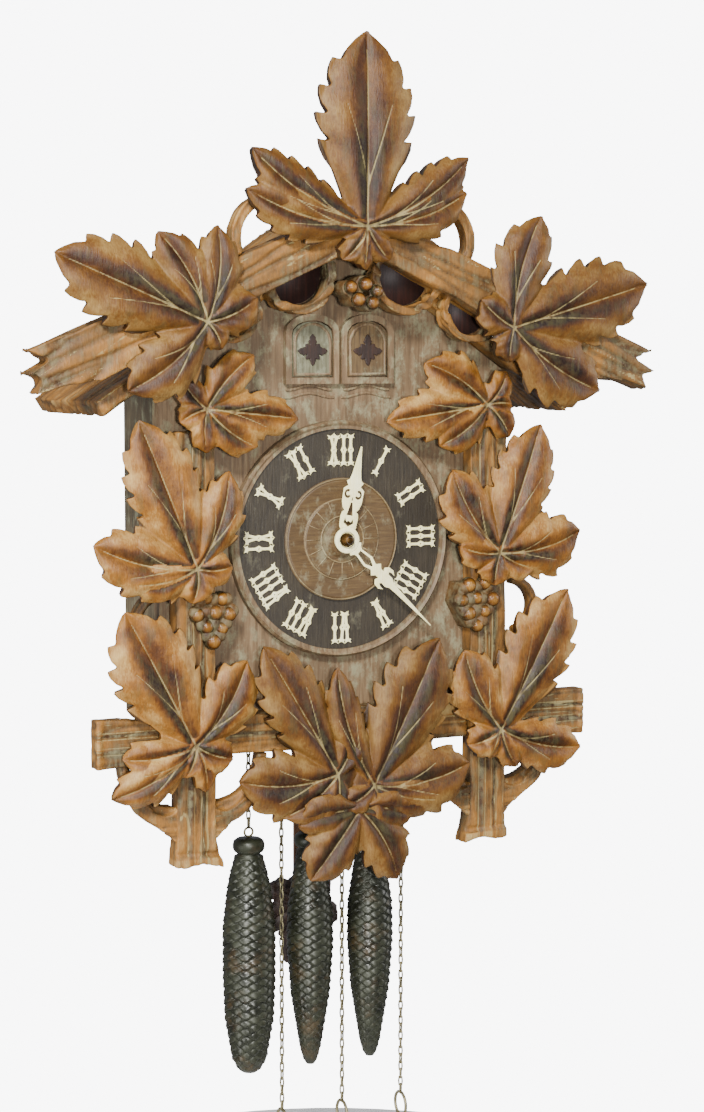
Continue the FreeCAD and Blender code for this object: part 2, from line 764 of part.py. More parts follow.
def bird(label, x, body_length, body_radius):
    """A carved bird facing forward on its sliding wire."""
    up = size("door_above") - 6
    nose = 122.0
    middle = nose - 9 - body_length / 2
    trunk = Part.makeSphere(body_radius)
    stretch = FreeCAD.Matrix()
    stretch.scale(1, body_length / 2 / body_radius, 1)
    trunk = trunk.transformGeometry(stretch)
    trunk.translate(Vector(x, -middle, height(up)))
    head = Part.makeSphere(body_radius * 0.72, Vector(x, -(nose - 8), height(up + body_radius * 0.75)))
    beak = Part.makeCone(1.8, 0.3, 7, Vector(x, -(nose - 3.5), height(up + body_radius * 0.7)), Vector(0, -1, 0))
    tail = Part.makeBox(7, 16, 2, Vector(x - 3.5, -(middle - body_length / 2 + 4), height(up)))
    wire = Part.makeCylinder(1.2, 22, Vector(x, -middle, height(up - 22)), Vector(0, 0, 1))
    slide = Part.makeCylinder(1.2, 56, Vector(x, -(middle - 54), height(up - 22)), Vector(0, -1, 0))
    return node(plain(label + "_solid", trunk.fuse([head, beak, tail, wire, slide]).removeSplitter()), label)


bird("cuckoo", -size("door_center"), 34, 7.5)
bird("quail", size("door_center"), 28, 7.8)


def bird_guides():
    """A block across the case that carries the two bird wires, each in its own bore."""
    up = size("door_above") - 28
    beam = half_plan(rectangle(-118, up - 7, 118, up + 7), 74, 12)
    for side in (-1, 1):
        beam = beam.cut(rod_solid(side * size("door_center"), up, 60, 40, 1.2 + size("fit")))
    node(plain("guide", beam), "bird_guide")


bird_guides()

rear = rectangle(-114.5, -138, 114.5, 96)
node(board("rear", closed(rear), 0.5, 9), "rear_door")


# ---- sound --------------------------------------------------------------------------------------

def sound():
    """Two whistles on the side walls, and a coiled wire gong with its hammer on a post."""
    boxes = []
    for side in (-1, 1):
        pipe = block("pipe", 95 * side - 10, 20, 60, 20, 20, 92)
        mouth = block("mouth", 95 * side - 7, 14, 57, 14, 19, 80)
        pipe_shell = cut("pipe_shell", pipe, mouth)
        foot = block("foot", f"{95 * side} - 10", 20, 60, 20, 112, 10)
        wall = block("strap", 105 if side > 0 else -118, 13, 55, 10, 60, 10)
        boxes.append(fuse("whistle", [pipe_shell, foot, wall]))
    node(group("whistle_pair", boxes), "whistles")
    wire = []
    for k in range(3):
        wire.append(torus("coil", 0, 22, -78, 18 + 8 * k, 1.5))
    bar = block("gong_bar", -38, 76, 24.5, 5, -80, 4)
    stem = block("gong_stem", -5, 10, 24.5, 5, -140, 62)
    arm = block("hammer_arm", 60, 3, 23, 3, -120, 60)
    head = shaft("hammer_head", 61.5, -66, 18, 8, 6)
    eye = shaft("hammer_eye", 61.5, -122, 18, 8, 4)
    bore = shaft("hammer_bore", 61.5, -122, 10, 30, "2 + fit")
    node(cut("hammer", fuse("hammer_blank", [arm, head, eye]), bore), "gong_hammer")
    stand = block("hammer_block", 55, 13, 17.5, 5, -140, 24)
    pin = shaft("hammer_pin", 61.5, -122, 17.5, 9.5, 2)
    node(group("gong_set", [fuse("gong_wire", wire + [bar, stem]), fuse("hammer_post", [stand, pin])]), "gong")


sound()


# ---- weights and chains ---------------------------------------------------------------------------

def weights():
    """Pine-cone weights on the left strand of each chain, the free strand with its ring on the right."""
    shapes = {"left": (-1, [(0, 8), (12, 15), (45, 22), (120, 22.5), (165, 16), (178, 12)]),
              "center": (0, [(0, 4), (14, 9), (60, 17), (120, 20), (165, 14), (178, 11)]),
              "right": (1, [(0, 4), (14, 9), (60, 17), (120, 20), (165, 14), (178, 11)])}
    chain, thick = size("chain_forward"), size("chain_thick")
    top = -size("weight_top")
    for name, (train, profile) in shapes.items():
        x = train * size("train_pitch") - size("chain_offset")
        points = [Vector(0, 0, 0)] + [Vector(r, 0, z) for z, r in profile]
        points.append(Vector(0, 0, size("weight_tall")))
        face = Part.Face(Part.makePolygon(points + points[:1]))
        solid = face.revolve(Vector(), Vector(0, 0, 1), 360)
        solid.translate(Vector(x, -chain, height(top - size("weight_tall"))))
        knob = Part.makeCylinder(9, 6, Vector(x, -chain, height(top)), Vector(0, 0, 1))
        cap = Part.makeCylinder(13, 9, Vector(x, -chain, height(top + 6)), Vector(0, 0, 1))
        node(plain("cone_" + name, solid.fuse([knob, cap]).removeSplitter()), "weight_" + name)
        hook = upright("hook_" + name, x, "chain_forward", top + 15, 16, 1.6)
        strand = upright("strand_" + name, x, "chain_forward", top + 31,
                         "travel - great_below + weight_top - 31", "chain_thick / 2")
        node(fuse("pull_" + name, [hook, strand]), "weight_chain_" + name)
        free = x + 2 * size("chain_offset")
        long = upright("free_" + name, free, "chain_forward", -468,
                       "468 - great_below", "chain_thick / 2")
        ring = torus("ring_" + name, free, "chain_forward", -479, 10, 1.3)
        ring.Placement = Placement(ring.Placement.Base, Rotation(Vector(0, 1, 0), 90))
        node(fuse("tail_" + name, [long, ring]), "free_chain_" + name)


weights()

doc.recompute()


def check():
    """Stops if any object failed or any sub-part is empty or not valid."""
    for obj in doc.Objects:
        if "Invalid" in obj.State or "Error" in obj.State:
            raise RuntimeError(f"{obj.Name} {obj.Label}: {obj.State}")
    for obj in nodes:
        if obj.Shape.isNull() or not obj.Shape.isValid() or obj.Shape.Volume <= 0:
            raise RuntimeError(f"{obj.Label} has no valid shape")


check()
os.makedirs("parts", exist_ok=True)
for obj in nodes:
    obj.Shape.exportStep(os.path.join("parts", obj.Label + ".step"))
    box = obj.Shape.BoundBox
    print(f"{obj.Label:22s} solids {len(obj.Shape.Solids):2d} volume {obj.Shape.Volume:10.0f} "
          f"x {box.XMin:7.1f} {box.XMax:7.1f} y {box.YMin:7.1f} {box.YMax:7.1f} "
          f"z {box.ZMin:7.1f} {box.ZMax:7.1f}")
print(len(nodes), "nodes")
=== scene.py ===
"""A carved cuckoo clock: linden leaves, logs and berries round a turned dial, over a plain board case."""
import json
import math

import bmesh
import bpy
import numpy as np
from mathutils import Matrix, Vector, noise


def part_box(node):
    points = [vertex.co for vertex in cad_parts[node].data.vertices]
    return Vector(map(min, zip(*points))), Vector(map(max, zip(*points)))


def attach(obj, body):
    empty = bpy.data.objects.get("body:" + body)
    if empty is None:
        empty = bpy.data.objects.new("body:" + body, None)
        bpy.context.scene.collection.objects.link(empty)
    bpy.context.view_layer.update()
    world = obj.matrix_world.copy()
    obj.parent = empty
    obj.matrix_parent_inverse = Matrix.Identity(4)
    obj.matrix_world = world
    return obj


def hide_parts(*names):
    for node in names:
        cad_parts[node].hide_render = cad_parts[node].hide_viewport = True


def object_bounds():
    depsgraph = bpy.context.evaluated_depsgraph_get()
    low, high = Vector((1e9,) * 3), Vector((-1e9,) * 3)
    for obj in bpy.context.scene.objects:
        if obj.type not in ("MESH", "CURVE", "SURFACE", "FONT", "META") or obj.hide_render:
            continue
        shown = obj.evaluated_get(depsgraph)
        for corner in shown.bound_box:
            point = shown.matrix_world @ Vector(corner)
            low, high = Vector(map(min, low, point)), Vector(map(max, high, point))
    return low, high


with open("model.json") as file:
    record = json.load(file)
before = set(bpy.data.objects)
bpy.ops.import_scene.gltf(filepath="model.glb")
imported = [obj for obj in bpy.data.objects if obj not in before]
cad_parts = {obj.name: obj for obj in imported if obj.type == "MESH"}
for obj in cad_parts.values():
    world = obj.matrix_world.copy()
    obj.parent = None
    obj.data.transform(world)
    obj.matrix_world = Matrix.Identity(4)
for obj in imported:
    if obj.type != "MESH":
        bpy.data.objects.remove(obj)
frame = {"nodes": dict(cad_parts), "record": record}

cad_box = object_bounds()
MM = 0.001
scene = bpy.context.scene

# ---- places, from the frame ---------------------------------------------------------------------

dial_low, dial_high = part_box("chapter_disc")
DIAL = (dial_low + dial_high) / 2
CASE_FRONT = -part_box("front_board")[0].y / MM
LOG_FRONT = -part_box("post_left")[0].y / MM
ROOF_FRONT = -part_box("roof_board_left")[0].y / MM


def at(x, forward, above):
    """A point x mm right of the middle, forward of the wall and above the middle of the dial."""
    return Vector((x * MM, -forward * MM, DIAL.z + above * MM))


# ---- camera, light and floor --------------------------------------------------------------------

def camera():
    """A long lens a little left of the clock and above it."""
    azimuth, elevation, away = math.radians(-25), math.radians(5), 1.9
    look = at(10, 146, -14)
    out = Vector((math.sin(azimuth) * math.cos(elevation), -math.cos(azimuth) * math.cos(elevation),
                  math.sin(elevation)))
    lens = bpy.data.cameras.new("camera")
    lens.sensor_width = 36
    lens.lens = 76.9
    eye = bpy.data.objects.new("camera", lens)
    eye.location = look + away * out
    eye.rotation_euler = (-out).to_track_quat("-Z", "Y").to_euler()
    scene.collection.objects.link(eye)
    scene.camera = eye


def lamp(name, place, target, size, power):
    """A square soft box that points at a target."""
    light = bpy.data.lights.new(name, "AREA")
    light.size = size
    light.energy = power
    holder = bpy.data.objects.new(name, light)
    holder.location = place
    holder.rotation_euler = (target - place).to_track_quat("-Z", "Y").to_euler()
    scene.collection.objects.link(holder)


def linear(hex_colour, alpha=1.0):
    """An sRGB hex colour as the linear colour that a node socket takes."""
    parts = [int(hex_colour[i:i + 2], 16) / 255 for i in (1, 3, 5)]
    return [c / 12.92 if c <= 0.04045 else ((c + 0.055) / 1.055) ** 2.4 for c in parts] + [alpha]


def add(tree, kind, settings=None, links=None):
    """Adds a node: settings are properties, links are inputs, each a value or another node's output."""
    made = tree.nodes.new(kind)
    for name, value in (settings or {}).items():
        setattr(made, name, value)
    for key, value in (links or {}).items():
        if isinstance(value, bpy.types.NodeSocket):
            tree.links.new(value, made.inputs[key])
        else:
            made.inputs[key].default_value = value
    return made


def as_mesh(bm, name):
    """A bmesh as a mesh, the bmesh freed."""
    mesh = bpy.data.meshes.new(name)
    bm.to_mesh(mesh)
    bm.free()
    return mesh


# Strengths of the seen and the felt surroundings, and the lamps' powers in watts.
WHITE, AMBIENT, KEY, FILL, SIDE = 9.0, 0.36, 66, 32, 20


def studio():
    """White surroundings, a key from the upper left, a small fill by the camera and two side boxes."""
    world = bpy.data.worlds.new("studio")
    world.use_nodes = True
    tree = world.node_tree
    tree.nodes.clear()
    seen = add(tree, "ShaderNodeBackground", links={"Color": linear("#f7f7f8"), "Strength": WHITE})
    felt = add(tree, "ShaderNodeBackground", links={"Color": linear("#f2f4ff"), "Strength": AMBIENT})
    ray = add(tree, "ShaderNodeLightPath")
    mix = add(tree, "ShaderNodeMixShader", links={0: ray.outputs["Is Camera Ray"], 1: felt.outputs[0],
                                                  2: seen.outputs[0]})
    add(tree, "ShaderNodeOutputWorld", links={"Surface": mix.outputs[0]})
    scene.world = world
    middle = at(0, 150, -20)
    lamp("key", at(-900, 1500, 1050), middle, 0.3, KEY)
    lamp("flash", at(-620, 1950, 120), middle, 0.1, FILL)
    lamp("side", at(-1500, 700, -250), middle, 0.8, SIDE)
    lamp("far_side", at(1500, 500, 300), middle, 0.8, SIDE * 0.7)


def floor():
    """A plain pale floor under the clock, lower than its chains reach."""
    bm = bmesh.new()
    bmesh.ops.create_circle(bm, cap_ends=True, segments=64, radius=0.3)
    bmesh.ops.translate(bm, verts=bm.verts, vec=(0, -0.12, cad_box[0].z - 0.08))
    mesh = as_mesh(bm, "floor")
    ground = bpy.data.objects.new("floor", mesh)
    scene.collection.objects.link(ground)
    pale = bpy.data.materials.new("pale_floor")
    pale.use_nodes = True
    shader = pale.node_tree.nodes["Principled BSDF"]
    shader.inputs["Base Color"].default_value = linear("#eeeeec")
    shader.inputs["Roughness"].default_value = 0.9
    mesh.materials.append(pale)


camera()
studio()
floor()

# ---- materials ----------------------------------------------------------------------------------

def surface(name):
    """A new material: its node tree, its shader and the object coordinates."""
    made = bpy.data.materials.new(name)
    made.use_nodes = True
    tree = made.node_tree
    tree.nodes.clear()
    shader = add(tree, "ShaderNodeBsdfPrincipled")
    add(tree, "ShaderNodeOutputMaterial", links={"Surface": shader.outputs[0]})
    place = add(tree, "ShaderNodeTexCoord").outputs["Object"]
    return made, tree, shader, place


def ramp(tree, value, stops):
    """A colour ramp through (position, hex colour) stops."""
    made = add(tree, "ShaderNodeValToRGB", links={"Fac": value})
    bar = made.color_ramp
    while len(bar.elements) < len(stops):
        bar.elements.new(0.5)
    for element, (position, colour) in zip(bar.elements, stops):
        element.position = position
        element.color = linear(colour)
    return made.outputs["Color"]


def spots(tree, place, size, detail=4, rough=0.55, stretch=(1, 1, 1)):
    """Cloudy noise with features of a size in mm, stretched along the axes."""
    scales = [1 / (size * MM * s) for s in stretch]
    scaled = add(tree, "ShaderNodeMapping", links={"Vector": place, "Scale": scales})
    made = add(tree, "ShaderNodeTexNoise", links={"Vector": scaled.outputs[0], "Scale": 1.0,
                                                  "Detail": detail, "Roughness": rough})
    return made.outputs["Fac"]


def between(tree, value, low, high, start=0.0, end=1.0):
    """A value from low to high, brought smoothly to the range from start to end."""
    made = add(tree, "ShaderNodeMapRange", {"interpolation_type": "SMOOTHSTEP"},
               {"Value": value, "From Min": low, "From Max": high, "To Min": start, "To Max": end})
    return made.outputs["Result"]


def mixed(tree, share, first, second):
    """Two colours mixed by a share; each is a hex colour or another node's output."""
    made = add(tree, "ShaderNodeMix", {"data_type": "RGBA"}, {"Factor": share})
    for socket, colour in ((6, first), (7, second)):
        if isinstance(colour, str):
            made.inputs[socket].default_value = linear(colour)
        else:
            tree.links.new(colour, made.inputs[socket])
    return made.outputs[2]


def reckon(tree, first, second, operation="MULTIPLY"):
    """Two numbers multiplied, or put together by another operation."""
    return add(tree, "ShaderNodeMath", {"operation": operation}, {0: first, 1: second}).outputs[0]


def read(tree, name):
    """A number that a piece keeps at each of its points."""
    return add(tree, "ShaderNodeAttribute", {"attribute_name": name}).outputs["Fac"]


def bumped(tree, shader, heights):
    """Roughens a surface by (height, depth in mm) pairs, one over another."""
    normal = None
    for height, depth in heights:
        made = add(tree, "ShaderNodeBump",
                   links={"Height": height, "Distance": depth * MM, "Strength": 1.0})
        if normal:
            tree.links.new(normal, made.inputs["Normal"])
        normal = made.outputs[0]
    tree.links.new(normal, shader.inputs["Normal"])


GRAIN = {"up": (1, 1, 14), "across": (14, 1, 1), "back": (1, 14, 1)}


def board_wood(name, colours, run, dusty, rough=0.6, fibre=2.2):
    """Sawn and stained board: fibres a couple of mm wide that run one way, cloudy stain and grey dust."""
    made, tree, shader, place = surface(name)
    fibres = spots(tree, place, fibre, 5, 0.62, GRAIN[run])
    cloud = spots(tree, place, 45, 3)
    dust = between(tree, spots(tree, place, 11, 7, 0.72, (1, 1, 1.6)),
                   0.66 - 0.26 * dusty, 0.82 - 0.2 * dusty)
    wood = ramp(tree, fibres, [(0.3, colours[0]), (0.5, colours[1]), (0.7, colours[2])])
    stained = mixed(tree, between(tree, cloud, 0.35, 0.65, 0.0, 0.55), wood, colours[0])
    tree.links.new(mixed(tree, reckon(tree, dust, 0.75), stained, colours[3]), shader.inputs["Base Color"])
    tree.links.new(between(tree, dust, 0, 1, rough, 0.9), shader.inputs["Roughness"])
    bumped(tree, shader, [(fibres, 0.25), (dust, 0.1)])
    return made


def carved_wood(name, dark, mid, warm, pale, dust_colour, gloss, dusty=0.7):
    """Carved linden, stained and waxed: the hollows are darkened as painted shade, a dark line along the
    sawn edges is painted shade, the crests are rubbed warm, greyed streaks run with the grain, dust lies in
    the cuts and the veins show as thin pale lines."""
    made, tree, shader, place = surface(name)
    lift, edge, vein = (read(tree, n) for n in ("lift", "edge", "vein"))
    fine = spots(tree, place, 1.3, 4, 0.65, (1, 1, 4))
    streak = spots(tree, place, 5, 4, 0.6, (1, 1, 7))
    patch = spots(tree, place, 26, 4, 0.6)
    cloudy = reckon(tree, reckon(tree, patch, 0.9), 0.45, "SUBTRACT")
    grainy = reckon(tree, reckon(tree, fine, 0.4), 0.2, "SUBTRACT")
    tone = reckon(tree, reckon(tree, reckon(tree, lift, 0.95), cloudy, "ADD"), grainy, "ADD")
    base = ramp(tree, tone, [(0.22, dark), (0.46, mid), (0.70, warm), (0.98, pale)])
    grey = reckon(tree, between(tree, streak, 0.46, 0.62), between(tree, patch, 0.62, 0.4))
    base = mixed(tree, reckon(tree, grey, 0.3), base, dust_colour)
    rim = reckon(tree, between(tree, edge, 1.0, 7.0, 0.7, 0.0), between(tree, patch, 0.38, 0.55))
    base = mixed(tree, rim, base, warm)
    # Painted shade: a dark line along the sawn outline of a leaf's front.
    cut = between(tree, edge, -0.8, 0.7, 0.85, 0.0)
    base = mixed(tree, cut, base, dark)
    low = between(tree, lift, 0.12, 0.5, 1.0, 0.0)
    dust = reckon(tree, low, between(tree, spots(tree, place, 6, 5, 0.7), 0.4, 0.62))
    base = mixed(tree, reckon(tree, dust, dusty), base, dust_colour)
    line = reckon(tree, between(tree, vein, 0.66, 0.86), between(tree, streak, 0.34, 0.6, 0.15, 0.75))
    base = mixed(tree, line, base, "#958558")
    tree.links.new(base, shader.inputs["Base Color"])
    tree.links.new(between(tree, dust, 0, 1, gloss, 0.85), shader.inputs["Roughness"])
    shader.inputs["Specular IOR Level"].default_value = 0.28
    bumped(tree, shader, [(fine, 0.35), (streak, 0.5), (patch, 0.8), (reckon(tree, line, -1.0), 0.3)])
    return made


def metal(name, colours, rough, grime, scale=6, metallic=1.0):
    """Bare or lacquered metal with cloudy tarnish and grime in patches of a few mm."""
    made, tree, shader, place = surface(name)
    tarnish = spots(tree, place, scale, 5, 0.65)
    tone = ramp(tree, tarnish, [(0.3, colours[0]), (0.6, colours[1])])
    dirt = between(tree, spots(tree, place, scale * 2.5, 6, 0.7), 0.5, 0.75, 0.0, grime)
    tree.links.new(mixed(tree, dirt, tone, colours[2]), shader.inputs["Base Color"])
    shader.inputs["Metallic"].default_value = metallic
    tree.links.new(between(tree, tarnish, 0.2, 0.8, rough, min(1, rough + 0.3)), shader.inputs["Roughness"])
    bumped(tree, shader, [(tarnish, 0.06)])
    return made


# Leaves: linden, brown stain, waxed. The crests shine a little and the lower parts hold dust.
waxed_leaf = carved_wood("waxed_linden_leaf",
                         "#1c0c03", "#4b2a0c", "#7c501b", "#b08f54", "#554e2d", 0.44, 0.4)
# Crest, roof leaves and spray: the same, darker and duller.
darker_leaf = carved_wood("darker_linden_leaf",
                          "#180a03", "#391e09", "#5e3c11", "#876b39", "#4b4527", 0.5, 0.4)
# Logs, posts and branches: the same linden left duller, with more grey dust along the cuts.
dusty_log = carved_wood("dusty_linden_log",
                        "#33200e", "#5d4120", "#875c28", "#ad925c", "#7e7a5a", 0.55, 0.55)
# Berries: the same stain polished by handling; their tone is darkened towards their sides as painted shade
# and paled where they face the front as a painted highlight.
polished_berry = carved_wood("polished_linden_berry",
                             "#170c04", "#3c220b", "#6c4516", "#9a733a", "#6a6645", 0.24, 0.4)
# Front board, door rims and dial rim: softwood, dark stain under grey-green dust, fibres running up.
dusty_board = board_wood("dusty_softwood_front", ("#4f3d27", "#6c553a", "#826d4e", "#898667"), "up", 0.74)
# Sides, back and floor of the case: the same board, less dust.
side_board = board_wood("stained_softwood_case", ("#3a3120", "#5f523a", "#7a6d50", "#86876e"), "up", 0.7)
# Roof: boards that run from front to back, reddish stain.
roof_board = board_wood("stained_softwood_roof", ("#33221a", "#5b3d2c", "#7a5a43", "#86836f"), "back", 0.35)
# Right bird door: paler wood, thinly stained, dusty.
door_wood = board_wood("thin_stained_door", ("#3c2c19", "#5d4829", "#735d3b", "#7f8062"), "up", 0.5)
# Left bird door: the same, nearly covered by grey-green dust.
dusty_door = board_wood("dusty_door", ("#4a4733", "#68654c", "#7e7c63", "#8f9178"), "up", 0.7)
# Dial middle: turned fruitwood, satin red-brown.
turned_wood = board_wood("turned_fruitwood",
                         ("#423019", "#543f22", "#64502f", "#7c765a"), "across", 0.6, 0.5, 1.4)
# Dial's turned rings and ribs: the same wood rubbed pale along its edges.
dusty_ring = board_wood("rubbed_fruitwood_edges",
                        ("#5d4a30", "#7c6a49", "#958560", "#9c9a7c"), "across", 0.5)
# Chapter: blackened wood gone grey-brown, matt.
ebonised = board_wood("ebonised_wood", ("#221c13", "#2f281c", "#3d3527", "#5d5843"), "up", 0.4, 0.5, 1.2)
# Inside parts of plain limewood.
plain_lime = board_wood("plain_limewood", ("#8a6c43", "#a98a5c", "#c2a677", "#a8a48c"), "up", 0.15)
# Pendulum rod: planed limewood, brown stain.
pendulum_stain = board_wood("stained_pendulum_wood",
                            ("#3c2615", "#5d3c22", "#7a5330", "#86826c"), "up", 0.25)
# Birds: painted in blue-grey with a chalky sheen.
bird_paint = board_wood("chalky_bird_paint",
                        ("#3f4d55", "#566871", "#6f7f83", "#9aa09a"), "back", 0.2, 0.55)
# Numerals and hands: bone, cream, hardly shiny, with faint yellow clouds.
cream_bone = board_wood("cream_bone", ("#e8dc98", "#f6eeb8", "#fcf7cc", "#e0d496"), "up", 0.2, 0.45, 1.0)
# Movement: rolled brass with brown tarnish.
tarnished_brass = metal("tarnished_brass", ("#8d6a2c", "#b9924a", "#4f3a1c"), 0.32, 0.6)
# Hand nut: the same brass gone nearly brown.
browned_nut = metal("browned_brass_nut", ("#3a2814", "#5c4322", "#241a10"), 0.35, 0.6, 3)
# Arbors, gong and pins: drawn steel, greyed.
drawn_steel = metal("drawn_steel", ("#6d6a64", "#8f8c86", "#463f37"), 0.3, 0.5)
# Chains: brassed steel wire, the brass worn off the links' sides.
worn_chain = metal("worn_brassed_chain", ("#6d664f", "#8f8769", "#3e3a2c"), 0.38, 0.6, 3)
# Bob and the leaves on the bird doors: near black stain, matt.
dark_stain = board_wood("dark_stained_carving", ("#170b06", "#2a170c", "#3f2412", "#4e4430"), "up", 0.2)
# Painted shade: near-black reddish boards under the crown logs, the roof's dark stain darkened to stand for
# the shaded hollow behind the festoons.
painted_shade_board = board_wood("reddish_painted_shade", ("#1a0c09", "#2b1510", "#3f2018", "#4a3a30"), "up", 0.2)
# Cones: cast iron painted bronze green, the paint worn brown, glossy along the scales.
cone_iron = metal("bronze_painted_cast_iron", ("#14150d", "#2c2e20", "#4a3519"), 0.24, 0.8, 12, 0.3)

BY_SLOT = {"leaf_wood": waxed_leaf, "case_wood": side_board, "log_wood": dusty_log, "door_wood": door_wood,
           "dial_wood": turned_wood, "ebonised_wood": ebonised, "bone": cream_bone, "brass": tarnished_brass,
           "steel": drawn_steel, "whistle_wood": plain_lime, "bird_paint": bird_paint,
           "pendulum_wood": pendulum_stain, "cone_iron": cone_iron, "chain_steel": worn_chain}
SLOT_OF = {part["node"]: part["material_slot"] for part in frame["record"]["subparts"]}


def finish_nodes():
    """Each CAD node gets its slot's material; a few have one of their own."""
    own = {"front_board": dusty_board, "door_frame": dusty_board, "dial_ring": dusty_board,
           "door_left": dusty_door, "roof_board_left": roof_board, "roof_board_right": roof_board}
    for name, node in frame["nodes"].items():
        node.data.materials.clear()
        node.data.materials.append(own.get(name, BY_SLOT[SLOT_OF[name]]))


finish_nodes()

# ---- mesh helpers -------------------------------------------------------------------------------

def piece(name, made, material, body, replaces=()):
    """A bmesh or mesh as a finished piece that rides on a body and may stand for CAD nodes."""
    mesh = as_mesh(made, name) if isinstance(made, bmesh.types.BMesh) else made
    mesh.shade_smooth()
    mesh.materials.clear()
    mesh.materials.append(material)
    obj = bpy.data.objects.new(name, mesh)
    scene.collection.objects.link(obj)
    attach(obj, body)
    if replaces:
        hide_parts(*replaces)
    return obj


def cad_copy(*names):
    """The surfaces of CAD nodes in one bmesh, their loose triangles joined."""
    bm = bmesh.new()
    for name in names:
        bm.from_mesh(frame["nodes"][name].data)
    bmesh.ops.remove_doubles(bm, verts=bm.verts, dist=0.02 * MM)
    return bm


def even_skin(bm, cell, soften=0):
    """The solids in a bmesh run together into one skin of small faces of a size in mm."""
    rough = as_mesh(bm, "rough")
    obj = bpy.data.objects.new("rough", rough)
    scene.collection.objects.link(obj)
    skin = obj.modifiers.new("skin", "REMESH")
    skin.mode = "VOXEL"
    skin.voxel_size = cell * MM
    if soften:
        soft = obj.modifiers.new("soft", "SMOOTH")
        soft.iterations = soften
        soft.factor = 0.5
    ready = obj.evaluated_get(bpy.context.evaluated_depsgraph_get())
    mesh = bpy.data.meshes.new_from_object(ready)
    bpy.data.objects.remove(obj)
    bpy.data.meshes.remove(rough)
    return mesh


def points_of(mesh):
    """The mesh's points in mm: right of the middle, forward of the wall, above the dial's middle."""
    flat = np.empty(len(mesh.vertices) * 3, np.float32)
    mesh.vertices.foreach_get("co", flat)
    where = flat.reshape(-1, 3).astype(float)
    return where[:, 0] / MM, -where[:, 1] / MM, (where[:, 2] - DIAL.z) / MM


def put_points(mesh, x, forward, above):
    """Moves the mesh's points, given as points_of gives them."""
    where = np.stack([x * MM, -forward * MM, above * MM + DIAL.z], 1)
    mesh.vertices.foreach_set("co", where.astype(np.float32).ravel())
    mesh.update()


def normals_of(mesh):
    """The mesh's point normals in the frame's axes."""
    flat = np.empty(len(mesh.vertices) * 3, np.float32)
    mesh.vertex_normals.foreach_get("vector", flat)
    return flat.reshape(-1, 3).astype(float)


def keep(mesh, **values):
    """Stores numbers at each point for the materials to read."""
    for name, numbers in values.items():
        mesh.attributes.new(name, "FLOAT", "POINT").data.foreach_set("value", numbers.astype(np.float32))


def even_finish(mesh, lift):
    """Gives a carved finish one tone and no veins; the lift is a number or one for each point."""
    keep(mesh, lift=lift + points_of(mesh)[0] * 0, edge=np.full(len(mesh.vertices), 6.0),
         vein=np.zeros(len(mesh.vertices)))


def prism(bm, outline, front, thick, taper=1.0):
    """A flat shape of (x, above) points in mm, forward of the wall, its back drawn in by a taper."""
    corners = [bm.verts.new(at(x, front, above)) for x, above in outline]
    face = bm.faces.new(corners)
    face.normal_update()
    if face.normal.y > 0:
        face.normal_flip()
    pushed = bmesh.ops.extrude_face_region(bm, geom=[face], use_keep_orig=True)
    back = [v for v in pushed["geom"] if isinstance(v, bmesh.types.BMVert)]
    bmesh.ops.translate(bm, verts=back, vec=(0, thick * MM, 0))
    middle = sum((v.co for v in back), Vector()) / len(back)
    bmesh.ops.scale(bm, verts=back, vec=(taper, 1, taper), space=Matrix.Translation(-middle))


def around(x, y, radius, turns):
    """Points on a circle in a flat shape, at angles in radians."""
    return [(x + radius * math.cos(a), y + radius * math.sin(a)) for a in turns]


def round_hole(x, y, radius, sides=12):
    """A circle as a closed outline."""
    return around(x, y, radius, np.arange(sides) * 2 * math.pi / sides)


# ---- leaves -------------------------------------------------------------------------------------

# Each leaf: its foot, and its lobes as (angle, length, half width) in mm about the dial's middle.
LEAVES = {
    "crest_leaf": ((0, 245), [
        (18, 92, 21), (32, 105, 21), (90, 149, 42), (149, 112, 21), (165, 104, 21),
        (232, 33, 13), (270, 34, 10), (308, 33, 13)]),
    "roof_leaf_left": ((-131, 171), [
        (25, 46, 20), (83, 74, 21), (120, 78, 21), (157, 130, 34), (219, 82, 27), (300, 24, 12)]),
    "roof_leaf_right": ((131, 168), [
        (-32, 96, 32), (16, 131, 36), (74, 93, 27), (142, 36, 20), (265, 28, 18)]),
    "upper_leaf_left": ((-122, 105), [
        (-6, 78, 20), (46, 58, 20), (130, 31, 15), (205, 24, 13), (271, 34, 15), (325, 52, 20)]),
    "upper_leaf_right": ((121, 106), [
        (188, 91, 22), (149, 66, 22), (56, 33, 15), (0, 24, 13), (308, 34, 15), (217, 54, 20)]),
    "middle_leaf_left": ((-132, -17), [
        (2, 30, 16), (70, 80, 21), (112, 124, 31), (166, 86, 28), (190, 56, 20), (262, 27, 16)]),
    "middle_leaf_right": ((131, -14), [
        (-22, 36, 18), (12, 78, 28), (70, 111, 29), (122, 81, 27), (170, 36, 18), (262, 27, 16)]),
    "lower_leaf_left": ((-134, -154), [
        (-20, 34, 18), (56, 78, 26), (118, 121, 36), (186, 60, 20), (208, 78, 20), (250, 26, 10),
        (284, 38, 13)]),
    "lower_leaf_right": ((133, -159), [
        (-14, 79, 24), (61, 130, 34), (116, 75, 27), (200, 32, 18), (246, 26, 12), (296, 36, 13)]),
}
SPRAY = {
    "bottom_leaf_left": ((-16, -184), [
        (121, 123, 28), (180, 84, 30), (214, 56, 22), (262, 54, 22), (70, 46, 20)]),
    "bottom_leaf_right": ((15, -195), [
        (63, 130, 36), (108, 102, 17), (8, 88, 30), (346, 60, 22), (304, 40, 18), (208, 32, 16)]),
    "bottom_leaf_low": ((2, -213), [(190, 54, 22), (232, 69, 24), (300, 69, 24), (350, 50, 20)]),
}
BOW = 0.07           # a side lobe's midline bows away from the main lobe by this share of its length
HUB = 0.24           # the round middle of a leaf reaches this share of its lobes' mean length


